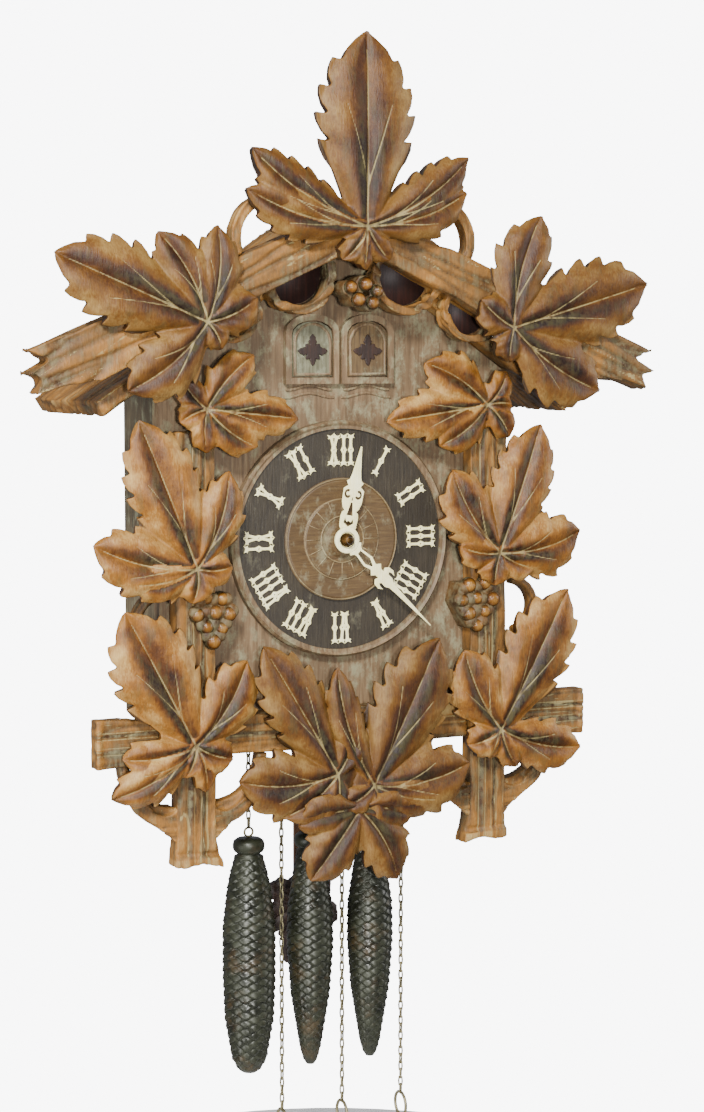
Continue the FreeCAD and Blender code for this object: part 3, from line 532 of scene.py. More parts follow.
def lobe_width(share):
    """A lobe's half width along its length, as a share of its widest."""
    along = [0, 0.12, 0.3, 0.46, 0.6, 0.76, 0.9, 1.0]
    wide = [0.3, 0.42, 0.7, 0.95, 1.0, 0.87, 0.56, 0.0]
    return np.interp(share, along, wide)


def lobe_bow(lobe, main, share):
    """How far a lobe's midline stands to its left, in mm."""
    turn = (lobe[0] - main + 180) % 360 - 180
    side = 0 if abs(turn) < 8 else math.copysign(1, turn)
    return side * BOW * lobe[1] * 4 * share * (1 - share)


def on_lobe(foot, lobe, main, share, left):
    """The point at a share of a lobe's length and some mm left of its midline."""
    turn = math.radians(lobe[0])
    along, aside = share * lobe[1], left + lobe_bow(lobe, main, share)
    return (foot[0] + along * math.cos(turn) - aside * math.sin(turn),
            foot[1] + along * math.sin(turn) + aside * math.cos(turn))


def lobe_outline(foot, lobe, main):
    """A lobe's edge: rounded teeth that point forward, then a pointed arch."""
    teeth = 2 + (lobe[1] > 60) + (lobe[1] > 100)
    stops = np.linspace(0.44, 0.86, teeth)
    side = [(0.0, 0.3), (0.14, 0.46), (0.28, 0.66)]
    start = (0.28, 0.66)
    for stop in stops:
        tip = (stop, lobe_width(stop) * 1.04)
        for part in (0.35, 0.7, 1.0):
            bulge = 0.07 * math.sin(math.pi * part)
            side.append((start[0] + (tip[0] - start[0]) * part,
                         start[1] + (tip[1] - start[1]) * part + bulge))
        start = (stop - 0.012, tip[1] * 0.74)
        side.append(start)
    for part in (0.4, 0.75):
        bulge = 0.09 * math.sin(math.pi * part)
        side.append((start[0] + (1 - start[0]) * part, start[1] * (1 - part) + bulge))
    left = [on_lobe(foot, lobe, main, s, w * lobe[2]) for s, w in side]
    right = [on_lobe(foot, lobe, main, s, -w * lobe[2]) for s, w in reversed(side)]
    return left + [on_lobe(foot, lobe, main, 1.0, 0)] + right


def lobe_veins(foot, lobe, main):
    """Vein lines of a lobe: points in mm with half widths that taper."""
    reach = 0.9 if lobe[1] > 50 else 0.8
    lines = [[(*on_lobe(foot, lobe, main, s, 0), 0.6 - 0.42 * s) for s in np.linspace(0, reach, 12)]]
    if lobe[1] > 70:
        spread = 0.44 * lobe[2]
        for side in (-1, 1):
            lines.append([(*on_lobe(foot, lobe, main, 0.2 + 0.42 * p, side * spread * p ** 1.15),
                           0.32 - 0.2 * p) for p in np.linspace(0, 1, 8)])
    return lines


def vein_closeness(x, above, lines):
    """For each point, how near the nearest vein is: 1 on its middle, 0 a few mm away."""
    most = np.zeros(len(x))
    for line in lines:
        for (ax, az, aw), (bx, bz, bw) in zip(line, line[1:]):
            dx, dz = bx - ax, bz - az
            part = np.clip(((x - ax) * dx + (above - az) * dz) / (dx * dx + dz * dz), 0, 1)
            gap = np.hypot(x - ax - part * dx, above - az - part * dz)
            most = np.maximum(most, 1 - gap / (3 * (aw + part * (bw - aw)) + 1.5))
    return most


def hub_reach(lobes):
    """Radius of the round middle of a leaf, in mm."""
    return HUB * sum(lobe[1] for lobe in lobes) / len(lobes)


def leaf_relief(foot, lobes, main, x, above):
    """For each point: a leaf's height as a share of its relief, how far in it is, and its tone, darkened as
    painted shade.
    """
    height, inside = np.full(len(x), -5.0), np.full(len(x), -20.0)
    tone = np.full(len(x), 0.3)
    longest = max(lobe[1] for lobe in lobes)
    for k, lobe in enumerate(sorted(lobes)):
        angle, length, half = lobe
        turn = math.radians(angle)
        share = ((x - foot[0]) * math.cos(turn) + (above - foot[1]) * math.sin(turn)) / length
        left = -(x - foot[0]) * math.sin(turn) + (above - foot[1]) * math.cos(turn)
        left = left - lobe_bow(lobe, main, np.clip(share, 0, 1))
        wide = half * lobe_width(np.clip(share, 0, 1))
        within = np.minimum(wide - np.abs(left), np.minimum((1 - share) * length * 0.6, share * length + 4))
        across = np.clip(left / np.maximum(wide, 3), -1, 1)
        run = np.clip(share, 0, 1)
        far = np.abs(across)
        arch = 0.34 + 0.6 * np.sin(math.pi * run ** 0.75 * 0.92)
        halves = 0.5 + 0.56 * np.sin(math.pi * far ** 0.8) - 0.58 * far ** 3
        pucker = 0.09 * np.sin(2 * math.pi * (3.4 * run - 0.9 * far)) * np.clip(run * 3, 0, 1) * far
        side = 1 if k % 2 else -1
        fold = 0.2 * across * side
        curl = -0.22 * np.clip((run - 0.74) / 0.26, 0, 1) ** 1.5
        lower = 0.8 + 0.2 * length / longest
        rise = (arch * halves + fold + pucker + curl) * lower - 0.22 * np.maximum(0, -within)
        # Painted shade: the tone darkens in a band beside the midvein, more on one half of each lobe, and
        # towards the foot; the lobes' edges are paler.
        shaded = np.where(across * side < 0, 1.0, 0.45)
        hollow_shade = np.exp(-((far - 0.2) / 0.2) ** 2) * (1 - run) ** 0.6 * shaded
        warm = 0.68 - 0.62 * hollow_shade + 0.26 * far ** 2 - 0.15 * (1 - run) ** 3
        tone = np.where(rise > height, warm, tone)
        height = np.maximum(height, rise)
        inside = np.maximum(inside, within)
    hub = hub_reach(lobes)
    away = np.hypot(x - foot[0], above - foot[1])
    middle = 0.44 - 0.2 * (away / hub) ** 2 - 0.3 * np.maximum(0, away - hub)
    tone = np.where(middle > height, 0.36, tone)
    return np.clip(np.maximum(height, middle), 0, 1), np.maximum(inside, hub - away), tone


def carved_leaf(foot, lobes, front, thick, relief, boss=None, cell=1.05):
    """A leaf sawn from a board and carved, from its foot and its lobes, with what a boss adds behind."""
    main = max(lobes, key=lambda lobe: lobe[1])[0]
    bm = bmesh.new()
    for lobe in lobes:
        prism(bm, lobe_outline(foot, lobe, main), front, thick, 0.94)
    prism(bm, around(*foot, hub_reach(lobes), np.arange(0, 6.2, 0.3)), front, thick, 0.9)
    if boss:
        boss(bm)
    bmesh.ops.recalc_face_normals(bm, faces=bm.faces)
    mesh = even_skin(bm, cell, 1)
    x, forward, above = points_of(mesh)
    facing = -normals_of(mesh)[:, 1]
    height, inside, tone = leaf_relief(foot, lobes, main, x, above)
    vein = vein_closeness(x, above, [line for lobe in lobes for line in lobe_veins(foot, lobe, main)])
    cut = (1 - height) * relief + 0.45 * np.clip((vein - 0.6) / 0.3, 0, 1)
    blade_back = front - thick
    depth = np.clip(forward - blade_back, 0, None)
    moved = np.where(forward > blade_back, blade_back + depth * (thick - cut) / thick, forward)
    put_points(mesh, x, moved, above)
    front_side = facing > 0.15
    keep(mesh, lift=np.where(front_side, tone, 0.4), edge=np.where(front_side, inside, 6.0),
         vein=np.where(front_side, vein, 0.0))
    return mesh


LEAF_THICK = {"crest_leaf": 18, "roof_leaf_left": 13, "roof_leaf_right": 13, "upper_leaf_left": 12,
              "upper_leaf_right": 12}
THICK = 14           # mm, the other leaves
BOSS_RADIUS = 9
CREST_BOSS_DROP = 15  # mm from the crest leaf's foot down to its boss


def leaves():
    """The nine single leaves, each with a boss behind where its blade stands off."""
    for name, (foot, lobes) in LEAVES.items():
        low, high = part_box(name)
        front, back = -low.y / MM, -high.y / MM
        thick = LEAF_THICK.get(name, THICK)
        drop = CREST_BOSS_DROP if name == "crest_leaf" else 0

        def boss(bm, foot=foot, blade_back=front - thick, back=back, drop=drop):
            if blade_back - back > 1:
                ring = around(foot[0], foot[1] - drop, BOSS_RADIUS, np.arange(0, 6.2, 0.4))
                prism(bm, ring, blade_back + 2, blade_back + 2 - back)

        mesh = carved_leaf(foot, lobes, front, thick, 9.5 if thick > 12 else 8, boss)
        stain = darker_leaf if name[:5] in ("crest", "roof_") else waxed_leaf
        piece(name, mesh, stain, "case", [name])


def spray():
    """The three leaves under the dial, each carved over the one before, on one block."""
    low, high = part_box("bottom_leaves")
    front, back = -low.y / MM, -high.y / MM
    for k, (name, (foot, lobes)) in enumerate(SPRAY.items()):
        step = (front - 2, front - 0.5, front)[k]

        def block(bm, step=step, k=k):
            if k == 0:
                prism(bm, [(-20, -212), (22, -212), (22, -150), (-20, -150)], step - 12, step - 12 - back)

        mesh = carved_leaf(foot, lobes, step, THICK, 9.5, block)
        piece(name, mesh, darker_leaf, "case", ["bottom_leaves"] if k == 0 else ())


leaves()
spray()

# ---- logs, posts and branches -------------------------------------------------------------------

def waver(points, size):
    """Smooth noise from -1 to 1 at each point, with features of a size in mm along each axis."""
    return np.array([noise.noise(Vector((p[0] / size[0], p[1] / size[1], p[2] / size[2]))) for p in points])


def gouge(mesh, along, aside, deep, groove=6.0, ends=None, valleys=None):
    """Cuts wavering grooves along a log and keeps what its finish needs. Its cut ends are a little paler;
    beside a valley between two ridges, given as a distance in mm, runs a pale line."""
    x, forward, above = points_of(mesh)
    normal = normals_of(mesh)
    spread = np.stack([aside, forward, along], 1)
    fine = waver(spread, (groove, groove * 1.5, groove * 9))
    broad = waver(spread, (groove * 4, groove * 4, groove * 8))
    scratch = waver(spread + 31.0, (groove * 0.55, groove, groove * 12))
    cut = np.clip(1 - np.abs(fine) * 3.2, 0, 1) ** 1.4
    depth = deep * (cut + 0.5 * np.clip(broad, 0, 1))
    put_points(mesh, x - normal[:, 0] * depth, forward + normal[:, 1] * depth, above - normal[:, 2] * depth)
    facing = -normal[:, 1]
    # Painted shade: the tone is darker where the grooves are cut deeper.
    lift = np.clip(0.62 + 0.34 * broad - 0.26 * cut, 0, 1)
    vein = np.clip(1 - np.abs(scratch) * 9, 0, 1) * (facing > 0.2)
    if ends is not None:
        lift = np.where(ends, np.clip(lift + 0.15, 0, 1), lift)
    if valleys is not None:
        # Painted shade: the tone darkens in the valleys between ridges.
        lift = lift - 0.3 * np.exp(-(valleys / 1.6) ** 2)
        vein = np.maximum(vein, np.clip(1 - np.abs(valleys - 2.6) / 2.4, 0, 1) * (facing > 0.1))
    keep(mesh, lift=lift, edge=np.where(facing > -0.5, 6.0, 2.0), vein=vein)
    return mesh


def straight_log(name, angle, deep=1.5, cell=1.5, soften=7, mirrored=False, groove=6.5, end=None):
    """A log of the frame, rounded and gouged along an angle, its cut ends past a distance."""
    mesh = even_skin(cad_copy(name), cell, soften)
    x, forward, above = points_of(mesh)
    side = np.where(x > 0, -1, 1) if mirrored else 1
    turn = np.radians(angle) * side
    along = x * np.cos(turn) + above * np.sin(turn)
    aside = -x * np.sin(turn) + above * np.cos(turn)
    ends = None if end is None else np.abs(along) > end
    piece(name + "_carved", gouge(mesh, along, aside, deep, groove, ends), dusty_log, "case", [name])


RIDGE = 11           # width of one of the three ridges along a post, in mm
POST_TOP = 88
CROSS_LOW, CROSS_HIGH = -166, -134


def oblong(left, right, low, high):
    """An upright rectangle of (x, above) points."""
    return [(left, high), (right, high), (right, low), (left, low)]


def posts():
    """The upright logs: three ridges, a flared foot and a raised rim round its cut end."""
    for side, name in ((-1, "post_left"), (1, "post_right")):
        bm = bmesh.new()
        for k, low in enumerate((111.5, 122.5, 133.5)):
            bar = oblong(side * low, side * (low + RIDGE - 0.2), -240, POST_TOP)
            prism(bm, bar, LOG_FRONT - 1.5 - 1.5 * (k != 1), 16)
        shape = [(112, POST_TOP), (144, POST_TOP), (144, -222), (147, -250), (138, -252), (124, -249),
                 (106, -253), (112, -222)]
        prism(bm, [(side * px, pz) for px, pz in shape], LOG_FRONT - 5, 14)
        rim = [(146, -243), (147, -251), (138, -253), (124, -250), (105.5, -254), (107, -246), (124, -243)]
        prism(bm, [(side * px, pz) for px, pz in rim], LOG_FRONT - 1, 18)
        bmesh.ops.recalc_face_normals(bm, faces=bm.faces)
        mesh = even_skin(bm, 1.4, 4)
        x, forward, above = points_of(mesh)
        valleys = np.minimum(np.abs(np.abs(x) - 122.3), np.abs(np.abs(x) - 133.3))
        mesh = gouge(mesh, above, x, 0.8, 7.5, above < -245, valleys)
        piece(name + "_carved", mesh, dusty_log, "case", [name])


def cross_logs():
    """The logs across the foot of the frame: three ridges each, with a raised rim at the cut end."""
    bm = bmesh.new()
    prism(bm, oblong(-111, 111, CROSS_LOW, CROSS_HIGH), CASE_FRONT + 12.5, 12.5)
    for low, high in ((CROSS_LOW, -151), (-149, CROSS_HIGH)):
        prism(bm, oblong(-111, 111, low, high), LOG_FRONT - 5.5, 10)
    for side, end in ((-1, 210), (1, 219)):
        for k, low in enumerate((-168, -156, -144)):
            bar = oblong(side * 143, side * (end - 1), low, low + 11.4)
            prism(bm, bar, LOG_FRONT - 3.5 - (k % 2), 12)
        for low, high in ((-170, -165), (-136, -131)):
            start = side * (end - 30)
            rim = [(start, low + 1), (side * end, low), (side * end, high), (start, high - 1)]
            prism(bm, rim, LOG_FRONT - 3, 14)
        prism(bm, oblong(side * (end - 4.5), side * end, -170, -131), LOG_FRONT - 2, 16)
    bmesh.ops.recalc_face_normals(bm, faces=bm.faces)
    mesh = even_skin(bm, 1.3, 3)
    x, forward, above = points_of(mesh)
    ends = np.abs(x) > np.where(x < 0, 204, 213)
    outer = np.minimum(np.abs(above + 156.3), np.abs(above + 144.3))
    valleys = np.where(np.abs(x) < 111, np.abs(above + 150), outer)
    mesh = gouge(mesh, x, above, 0.7, 6.5, ends, valleys)
    piece("cross_logs_carved", mesh, dusty_log, "case", ["cross_logs"])


# Middle and radius of each bent branch, right side, in mm.
BENDS = [(70, 236, 30.5), (145, -167, 40.5), (111, -166, 40.5), (152, -60, 22)]
# The forks where the braces leave a post: the right post's outer and inner side.
FORKS = [[(141, -236), (141, -200), (147, -208), (154, -210), (162, -206), (169, -198), (175, -184),
          (187, -184), (185, -195), (178, -206), (168, -214), (158, -220), (149, -228)],
         [(115, -236), (115, -200), (109, -208), (102, -210), (94, -206), (87, -198), (81, -186),
          (70, -186), (72, -196), (78, -206), (88, -214), (98, -220), (107, -228)]]


def bent_branch():
    """Round bent branches: loops behind the crest, forked braces under the logs and loops at the sides."""
    bm = cad_copy("bent_branches")
    for side in (-1, 1):
        for fork in FORKS:
            prism(bm, [(side * px, pz) for px, pz in fork], LOG_FRONT - 4, 9)
    bmesh.ops.recalc_face_normals(bm, faces=bm.faces)
    mesh = even_skin(bm, 1.3, 8)
    x, forward, above = points_of(mesh)
    aside, along, best = np.zeros(len(x)), np.zeros(len(x)), np.full(len(x), 1e9)
    for bx, bz, radius in BENDS:
        away = np.hypot(np.abs(x) - bx, above - bz)
        miss = np.abs(away - radius)
        nearer = miss < best
        best = np.where(nearer, miss, best)
        aside = np.where(nearer, away + 5 * bx, aside)
        along = np.where(nearer, np.arctan2(above - bz, np.abs(x) - bx) * radius, along)
    piece("bent_branches_carved", gouge(mesh, along, aside, 0.9, 4.0), dusty_log, "case", ["bent_branches"])


straight_log("crown_board", 24.6, 2.6, 1.4, 4, True, 9, 246)
straight_log("roof_board_left", 34.6, 1.8, 2.2, 2, False, 8, 236)
straight_log("roof_board_right", -34.6, 1.8, 2.2, 2, False, 8, 236)
posts()
cross_logs()
bent_branch()

FESTOONS = [(47, 209, 24), (104, 182, 20)]       # middle and inner radius of each festoon, in mm


def recesses():
    """Near-black boards behind the festoons: painted shade for the hollow under the roof that shows through
    them.
    """
    bm = bmesh.new()
    for bx, bz, radius in FESTOONS:
        for side in (-1, 1):
            ring = around(side * bx, bz, radius - 0.5, np.arange(0, 6.25, 0.2))
            prism(bm, ring, ROOF_FRONT + 0.6, 1.1)
    bmesh.ops.recalc_face_normals(bm, faces=bm.faces)
    piece("festoon_painted_shade", bm, painted_shade_board, "case", ())


recesses()

# ---- berries ------------------------------------------------------------------------------------

SIDE_ROWS = [(2, -41), (3, -53), (2, -64), (1, -74)]      # berries in a row, and the row's height
BUNCH_MIDDLE = 115
BERRY_PITCH = 13.4
TOP_BERRIES = [(-9, 198), (3, 202), (14, 195), (-2, 190), (9, 186)]


def berries():
    """Bunches of berries on their beds; each berry a little different in size."""
    bm = cad_copy("grapes")
    bmesh.ops.delete(bm, geom=[v for v in bm.verts if v.co.z > at(0, 0, 150).z], context="VERTS")
    for bx, bz in TOP_BERRIES:
        prism(bm, round_hole(bx, bz, 6.4), ROOF_FRONT + 25, 24)
    bmesh.ops.recalc_face_normals(bm, faces=bm.faces)
    mesh = even_skin(bm, 0.9, 12)
    even_finish(mesh, 0.3)
    piece("berry_beds", mesh, dusty_log, "case", ["grapes"])
    places = [(bx, bz, ROOF_FRONT + 26) for bx, bz in TOP_BERRIES]
    for count, row in SIDE_ROWS:
        for k in range(count):
            for side in (-1, 1):
                across = BUNCH_MIDDLE + (k - (count - 1) / 2) * BERRY_PITCH
                places.append((side * across, row + 1.5 * (k % 2), LOG_FRONT))
    bm = bmesh.new()
    for k, (bx, bz, bed) in enumerate(places):
        radius = (5.6 if bed > LOG_FRONT else 6.3) + 0.5 * math.sin(k * 2.4)
        middle = at(bx + 0.8 * math.sin(k * 1.9), bed + 0.2, bz + 0.8 * math.cos(k * 3.1))
        bmesh.ops.create_uvsphere(bm, u_segments=20, v_segments=12, radius=radius * MM,
                                  matrix=Matrix.Translation(middle) @ Matrix.Rotation(math.pi / 2, 4, "X"))
    mesh = as_mesh(bm, "berries")
    # Painted light: each berry's tone is pale where it faces the front, as a highlight, and dark towards its
    # sides, as shade.
    out = np.clip(-normals_of(mesh)[:, 1], 0, 1)
    even_finish(mesh, 0.12 + 0.75 * out ** 1.4)
    piece("berries", mesh, polished_berry, "case", ())


berries()

# ---- dial ---------------------------------------------------------------------------------------

def spun(profile, forward, x=0.0, above=0.0, steps=96, upright=False):
    """A turned shape from (radius, place along its axis) points in mm; the axis points forward, or up."""
    bm = bmesh.new()
    middle = at(x, forward, above)
    if upright:
        line = [bm.verts.new(middle + Vector((r, 0, t)) * MM) for r, t in profile]
    else:
        line = [bm.verts.new(middle + Vector((r, -t, 0)) * MM) for r, t in profile]
    edges = [bm.edges.new(pair) for pair in zip(line, line[1:])]
    bmesh.ops.spin(bm, geom=line + edges, cent=middle, axis=(0, 0, 1) if upright else (0, 1, 0),
                   angle=2 * math.pi, steps=steps, use_merge=True)
    bmesh.ops.remove_doubles(bm, verts=bm.verts, dist=0.01 * MM)
    bmesh.ops.recalc_face_normals(bm, faces=bm.faces)
    return bm


def bead(radius, half, forward, rise):
    """A closed half-round moulding round the dial."""
    turns = np.linspace(0, math.pi, 7)
    profile = [(radius - half * math.cos(a), rise * math.sin(a)) for a in turns]
    return spun(profile + [(radius + half, -0.5), (radius - half, -0.5), profile[0]], forward)


def joined(parts):
    """Several bmeshes as one."""
    whole = bmesh.new()
    for part in parts:
        mesh = as_mesh(part, "part")
        whole.from_mesh(mesh)
        bpy.data.meshes.remove(mesh)
    return whole


def rosette():
    """Fine turned rings and sixteen ribs on the middle of the dial."""
    face = -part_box("dial_center")[0].y / MM
    rings = [bead(48.0, 0.6, face - 4.6, 1.2), bead(32.0, 0.7, face - 5.0, 1.2),
             bead(18.5, 0.6, face - 3.5, 1.0)]
    for k in range(16):
        rib = bmesh.new()
        bmesh.ops.create_cone(rib, cap_ends=True, segments=8, radius1=0.5 * MM, radius2=0.35 * MM,
                              depth=13 * MM)
        bmesh.ops.translate(rib, verts=rib.verts, vec=(0, 0, 25.2 * MM))
        bmesh.ops.rotate(rib, verts=rib.verts, matrix=Matrix.Rotation(math.radians(22.5 * k), 3, "Y"))
        bmesh.ops.translate(rib, verts=rib.verts, vec=at(0, face - 3.6, 0))
        rings.append(rib)
    piece("dial_rosette", joined(rings), dusty_ring, "case", ())


rosette()


def fretted(outlines, thick, soften=0.12):
    """A sheet cut to closed outlines in mm, the inner ones being holes, its back in the plane y = 0."""
    curve = bpy.data.curves.new("fret", "CURVE")
    curve.dimensions = "2D"
    curve.fill_mode = "BOTH"
    curve.extrude = (thick / 2 - soften) * MM
    curve.bevel_depth = soften * MM
    curve.bevel_resolution = 1
    for outline in outlines:
        line = curve.splines.new("POLY")
        line.points.add(len(outline) - 1)
        for point, (across, along) in zip(line.points, outline):
            point.co = (across * MM, along * MM, 0, 1)
        line.use_cyclic_u = True
    holder = bpy.data.objects.new("fret", curve)
    mesh = bpy.data.meshes.new_from_object(holder)
    bpy.data.objects.remove(holder)
    bm = bmesh.new()
    bm.from_mesh(mesh)
    bpy.data.meshes.remove(mesh)
    bmesh.ops.remove_doubles(bm, verts=bm.verts, dist=0.005 * MM)
    bmesh.ops.recalc_face_normals(bm, faces=bm.faces)
    bmesh.ops.rotate(bm, verts=bm.verts, matrix=Matrix.Rotation(math.pi / 2, 3, "X"))
    bmesh.ops.translate(bm, verts=bm.verts, vec=(0, -thick / 2 * MM, 0))
    return bm


def both_halves(half):
    """A closed outline from its right half, given from the bottom to the top."""
    return half + [(-x, y) for x, y in reversed(half) if x > 0.01]


def on_dial(bm, turn, forward):
    """Turns a flat shape clockwise about the dial's middle and puts it forward of the wall."""
    bmesh.ops.rotate(bm, verts=bm.verts, matrix=Matrix.Rotation(math.radians(turn), 3, "Y"))
    bmesh.ops.translate(bm, verts=bm.verts, vec=at(0, forward, 0))
    return bm


ROMAN = ["I", "II", "III", "IIII", "V", "VI", "VII", "VIII", "IX", "X", "XI", "XII"]
LETTER_WIDTH = {"I": 6.2, "V": 11, "X": 11}
NUMERAL_HALF = 12.8
NUMERAL_RADIUS = 71


def numeral_stroke(half, x_low, x_high):
    """One stroke with forked ends, a knuckle half way and a pierced dot."""
    quarter = [(0.9, half - 1.2), (2.7, half), (1.9, half - 1.9), (2.9, half - 2.9), (1.2, half - 3.4),
               (0.95, half - 5), (0.95, 2.9), (1.3, 2.1), (2.4, 0.0)]
    right = [(x, -y) for x, y in quarter] + [(x, y) for x, y in reversed(quarter[:-1])]
    outline = both_halves(right)
    bm = fretted([outline, round_hole(0, 0, 0.7, 8)], 1.2)
    lean = math.atan2(x_high - x_low, 2 * half)
    bmesh.ops.rotate(bm, verts=bm.verts, matrix=Matrix.Rotation(lean, 3, "Y"))
    bmesh.ops.translate(bm, verts=bm.verts, vec=((x_low + x_high) / 2 * MM, 0, 0))
    return bm


def numerals():
    """The hours in bone, feet towards the middle."""
    marks = []
    for hour, text in enumerate(ROMAN, start=1):
        x = -sum(LETTER_WIDTH[c] for c in text) / 2
        for letter in text:
            wide = LETTER_WIDTH[letter]
            middle, left, right = x + wide / 2, x + 2.6, x + wide - 2.6
            strokes = {"I": [(middle, middle)], "V": [(middle - 0.6, left), (middle + 0.6, right)],
                       "X": [(right, left), (left, right)]}[letter]
            for k, (foot, head) in enumerate(strokes):
                bm = numeral_stroke(NUMERAL_HALF, foot, head)
                bmesh.ops.translate(bm, verts=bm.verts, vec=(0, -0.06 * k * MM, NUMERAL_RADIUS * MM))
                marks.append(on_dial(bm, 30 * hour, NUMERAL_BACK))
            x += wide
    piece("numerals_fretted", joined(marks), cream_bone, "case", ["numerals"])


NUMERAL_BACK = -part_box("numerals")[1].y / MM
numerals()

# ---- hands --------------------------------------------------------------------------------------

HOUR_TURN, MINUTE_TURN = 11, 134


def hands():
    """Fretted bone hands: the hour hand broad and pierced, the minute hand with a loop and two horns."""
    turns = np.radians(np.linspace(-150, 120, 10))
    scroll = [(4.6 + 3.4 * math.cos(a), 36.6 + 3.8 * math.sin(a)) for a in turns]
    scroll += [(4.6 + 1.3 * math.cos(a), 36.6 + 1.5 * math.sin(a)) for a in turns[::-1]]
    hour = both_halves([(0, 7), (5.2, 7), (7.2, 10.5), (7.6, 18), (6.9, 21.5), (4.9, 23.2), (7.0, 25.4),
                        (8.5, 30), (8.8, 40.5), (5.2, 43.2), (7.2, 46.4), (5.0, 48.0), (3.6, 53),
                        (0.4, 75)])
    holes = [[(-3.0, 19.5), (3.0, 19.5), (0.9, 30), (-0.9, 30)],
             [(-4.6, 13.6), (0, 10.4), (4.6, 13.6), (3.6, 17.6), (1.9, 14.4), (0, 15.4), (-1.9, 14.4),
              (-3.6, 17.6)],
             [(-1.0, 31.5), (1.0, 31.5), (0.3, 34.5), (-0.3, 34.5)],
             scroll, [(-x, y) for x, y in reversed(scroll)]]
    eye = [round_hole(0, 0, 9.2, 40), round_hole(0, 0, 4.6, 32)]
    back = -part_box("hour_hand")[1].y / MM
    blade = joined([fretted([hour] + holes, 1.2), fretted(eye, 1.16)])
    piece("hour_hand_fretted", on_dial(blade, HOUR_TURN, back), cream_bone, "hour_hand", ["hour_hand"])
    minute = both_halves([(0, 7), (4.4, 7), (6.8, 10.6), (4.2, 12.5), (3.4, 15), (5.0, 25.5), (2.9, 32),
                          (6.2, 35.2), (3.4, 38), (3.2, 41.5), (6.2, 40.2), (9.0, 42.6), (9.6, 47.2),
                          (7.2, 50.6), (7.4, 47.4), (6.2, 44.9), (4.4, 46.2), (4.6, 50.6), (2.7, 54.5),
                          (2.1, 60), (0.35, 103)])
    loop = both_halves([(0, 14.4), (1.7, 14.4), (3.3, 25), (0.6, 31.2)])
    eye = [round_hole(0, 0, 10.2, 40), round_hole(0, 0, 7.0, 32)]
    back = -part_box("minute_hand")[1].y / MM
    blade = joined([fretted([minute, loop], 1.2), fretted(eye, 1.5, 0.3)])
    piece("minute_hand_fretted", on_dial(blade, MINUTE_TURN, back), cream_bone, "minute_hand",
          ["minute_hand"])
    tip = -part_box("center_arbor")[0].y / MM - back - 1.2 + 0.5
    nut = spun([(0, tip), (2.2, tip - 0.2), (4.0, tip - 1.2), (5.2, 0.6), (5.5, 0), (5.5, -1.6), (0, -1.6)],
               back + 1.2, steps=48)
    piece("hand_nut", nut, browned_nut, "minute_hand", ())


hands()

# ---- doors --------------------------------------------------------------------------------------

def arch_points(x, low, wide, tall, steps=14):
    """An arched outline of (x, above) points with a half-round head."""
    head = low + tall - wide / 2
    turns = np.linspace(0, math.pi, steps)
    arc = [(x + wide / 2 * math.cos(a), head + wide / 2 * math.sin(a)) for a in turns]
    return [(x + wide / 2, low)] + arc + [(x - wide / 2, low)]


def raised_arch(bm, x, low, wide, tall, rim, front, thick):
    """A raised rim of a width round an arch."""
    outer = arch_points(x, low, wide, tall)
    inner = arch_points(x, low + rim, wide - 2 * rim, tall - 2 * rim)
    rings = []
    back = front - thick
    for outline, forward in ((outer, back), (outer, front - 0.3), (inner, front), (inner, back)):
        corners = [bm.verts.new(at(px, forward, pz)) for px, pz in outline]
        rings.append([bm.edges.new((a, b)) for a, b in zip(corners, corners[1:] + corners[:1])])
    for first, second in zip(rings, rings[1:] + rings[:1]):
        bmesh.ops.bridge_loops(bm, edges=first + second)
    bmesh.ops.recalc_face_normals(bm, faces=bm.faces)


# Lobes of the leaf on a bird door: angle, length and half width in mm.
MOTIF = [(90, 13.5, 3.6), (6, 12, 3.4), (174, 12, 3.4), (270, 10, 2.6), (48, 8.5, 2.4), (132, 8.5, 2.4),
         (318, 7.5, 2.4), (222, 7.5, 2.4)]


def motif(x, above, front, thick, scale):
    """A small pointed leaf carved on a bird door."""
    bm = bmesh.new()
    for angle, length, half in MOTIF:
        turn = math.radians(angle)
        out = [(0, 1.2), (0.3, half * 0.7), (0.42, half * 0.55), (0.58, half), (0.68, half * 0.62),
               (0.8, half * 0.66)]
        edge = [(0.0, -1.2)] + out + [(1.0, 0)] + [(s, -w) for s, w in reversed(out[1:])]
        outline = [(x + (s * length * math.cos(turn) - w * math.sin(turn)) * scale,
                    above + (s * length * math.sin(turn) + w * math.cos(turn)) * scale) for s, w in edge]
        prism(bm, outline, front, thick, 1.0)
    bmesh.ops.recalc_face_normals(bm, faces=bm.faces)
    mesh = even_skin(bm, 0.45, 1)
    even_finish(mesh, 0.25)
    return mesh


def doors():
    """A raised rim and a small leaf on each bird door, riding on it."""
    for name in ("door_left", "door_right"):
        low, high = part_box(name)
        x, wide = (low.x + high.x) / 2 / MM, (high.x - low.x) / MM
        foot, tall, front = (low.z - DIAL.z) / MM, (high.z - low.z) / MM, -low.y / MM
        bm = bmesh.new()
        raised_arch(bm, x, foot + 0.5, wide - 1, tall - 1, 2.2, front + 1.2, 1.8)
        piece(name + "_rim", bm, dusty_board, name, ())
        leaf = motif(x, foot + tall * 0.44, front + 1.3, 1.8, 1.08)
        piece(name + "_leaf", leaf, dark_stain, name, ())


def ledges():
    """Two wavy mouldings under each bird door."""
    bm = bmesh.new()
    for side in (-1, 1):
        for low, reach, rise in ((121.5, 20, 1.6), (115.5, 22, 1.2)):
            top = [(side * 25 + t, low + 1.8 * math.cos(t / 6.4)) for t in np.linspace(-reach, reach, 15)]
            under = [(px, pz - 2.2) for px, pz in reversed(top)]
            prism(bm, top + under, CASE_FRONT + rise, rise + 0.4)
    bmesh.ops.recalc_face_normals(bm, faces=bm.faces)
    mesh = even_skin(bm, 0.6, 3)
    piece("door_ledges", mesh, dusty_board, "case", ())


doors()
ledges()

# ---- cones --------------------------------------------------------------------------------------

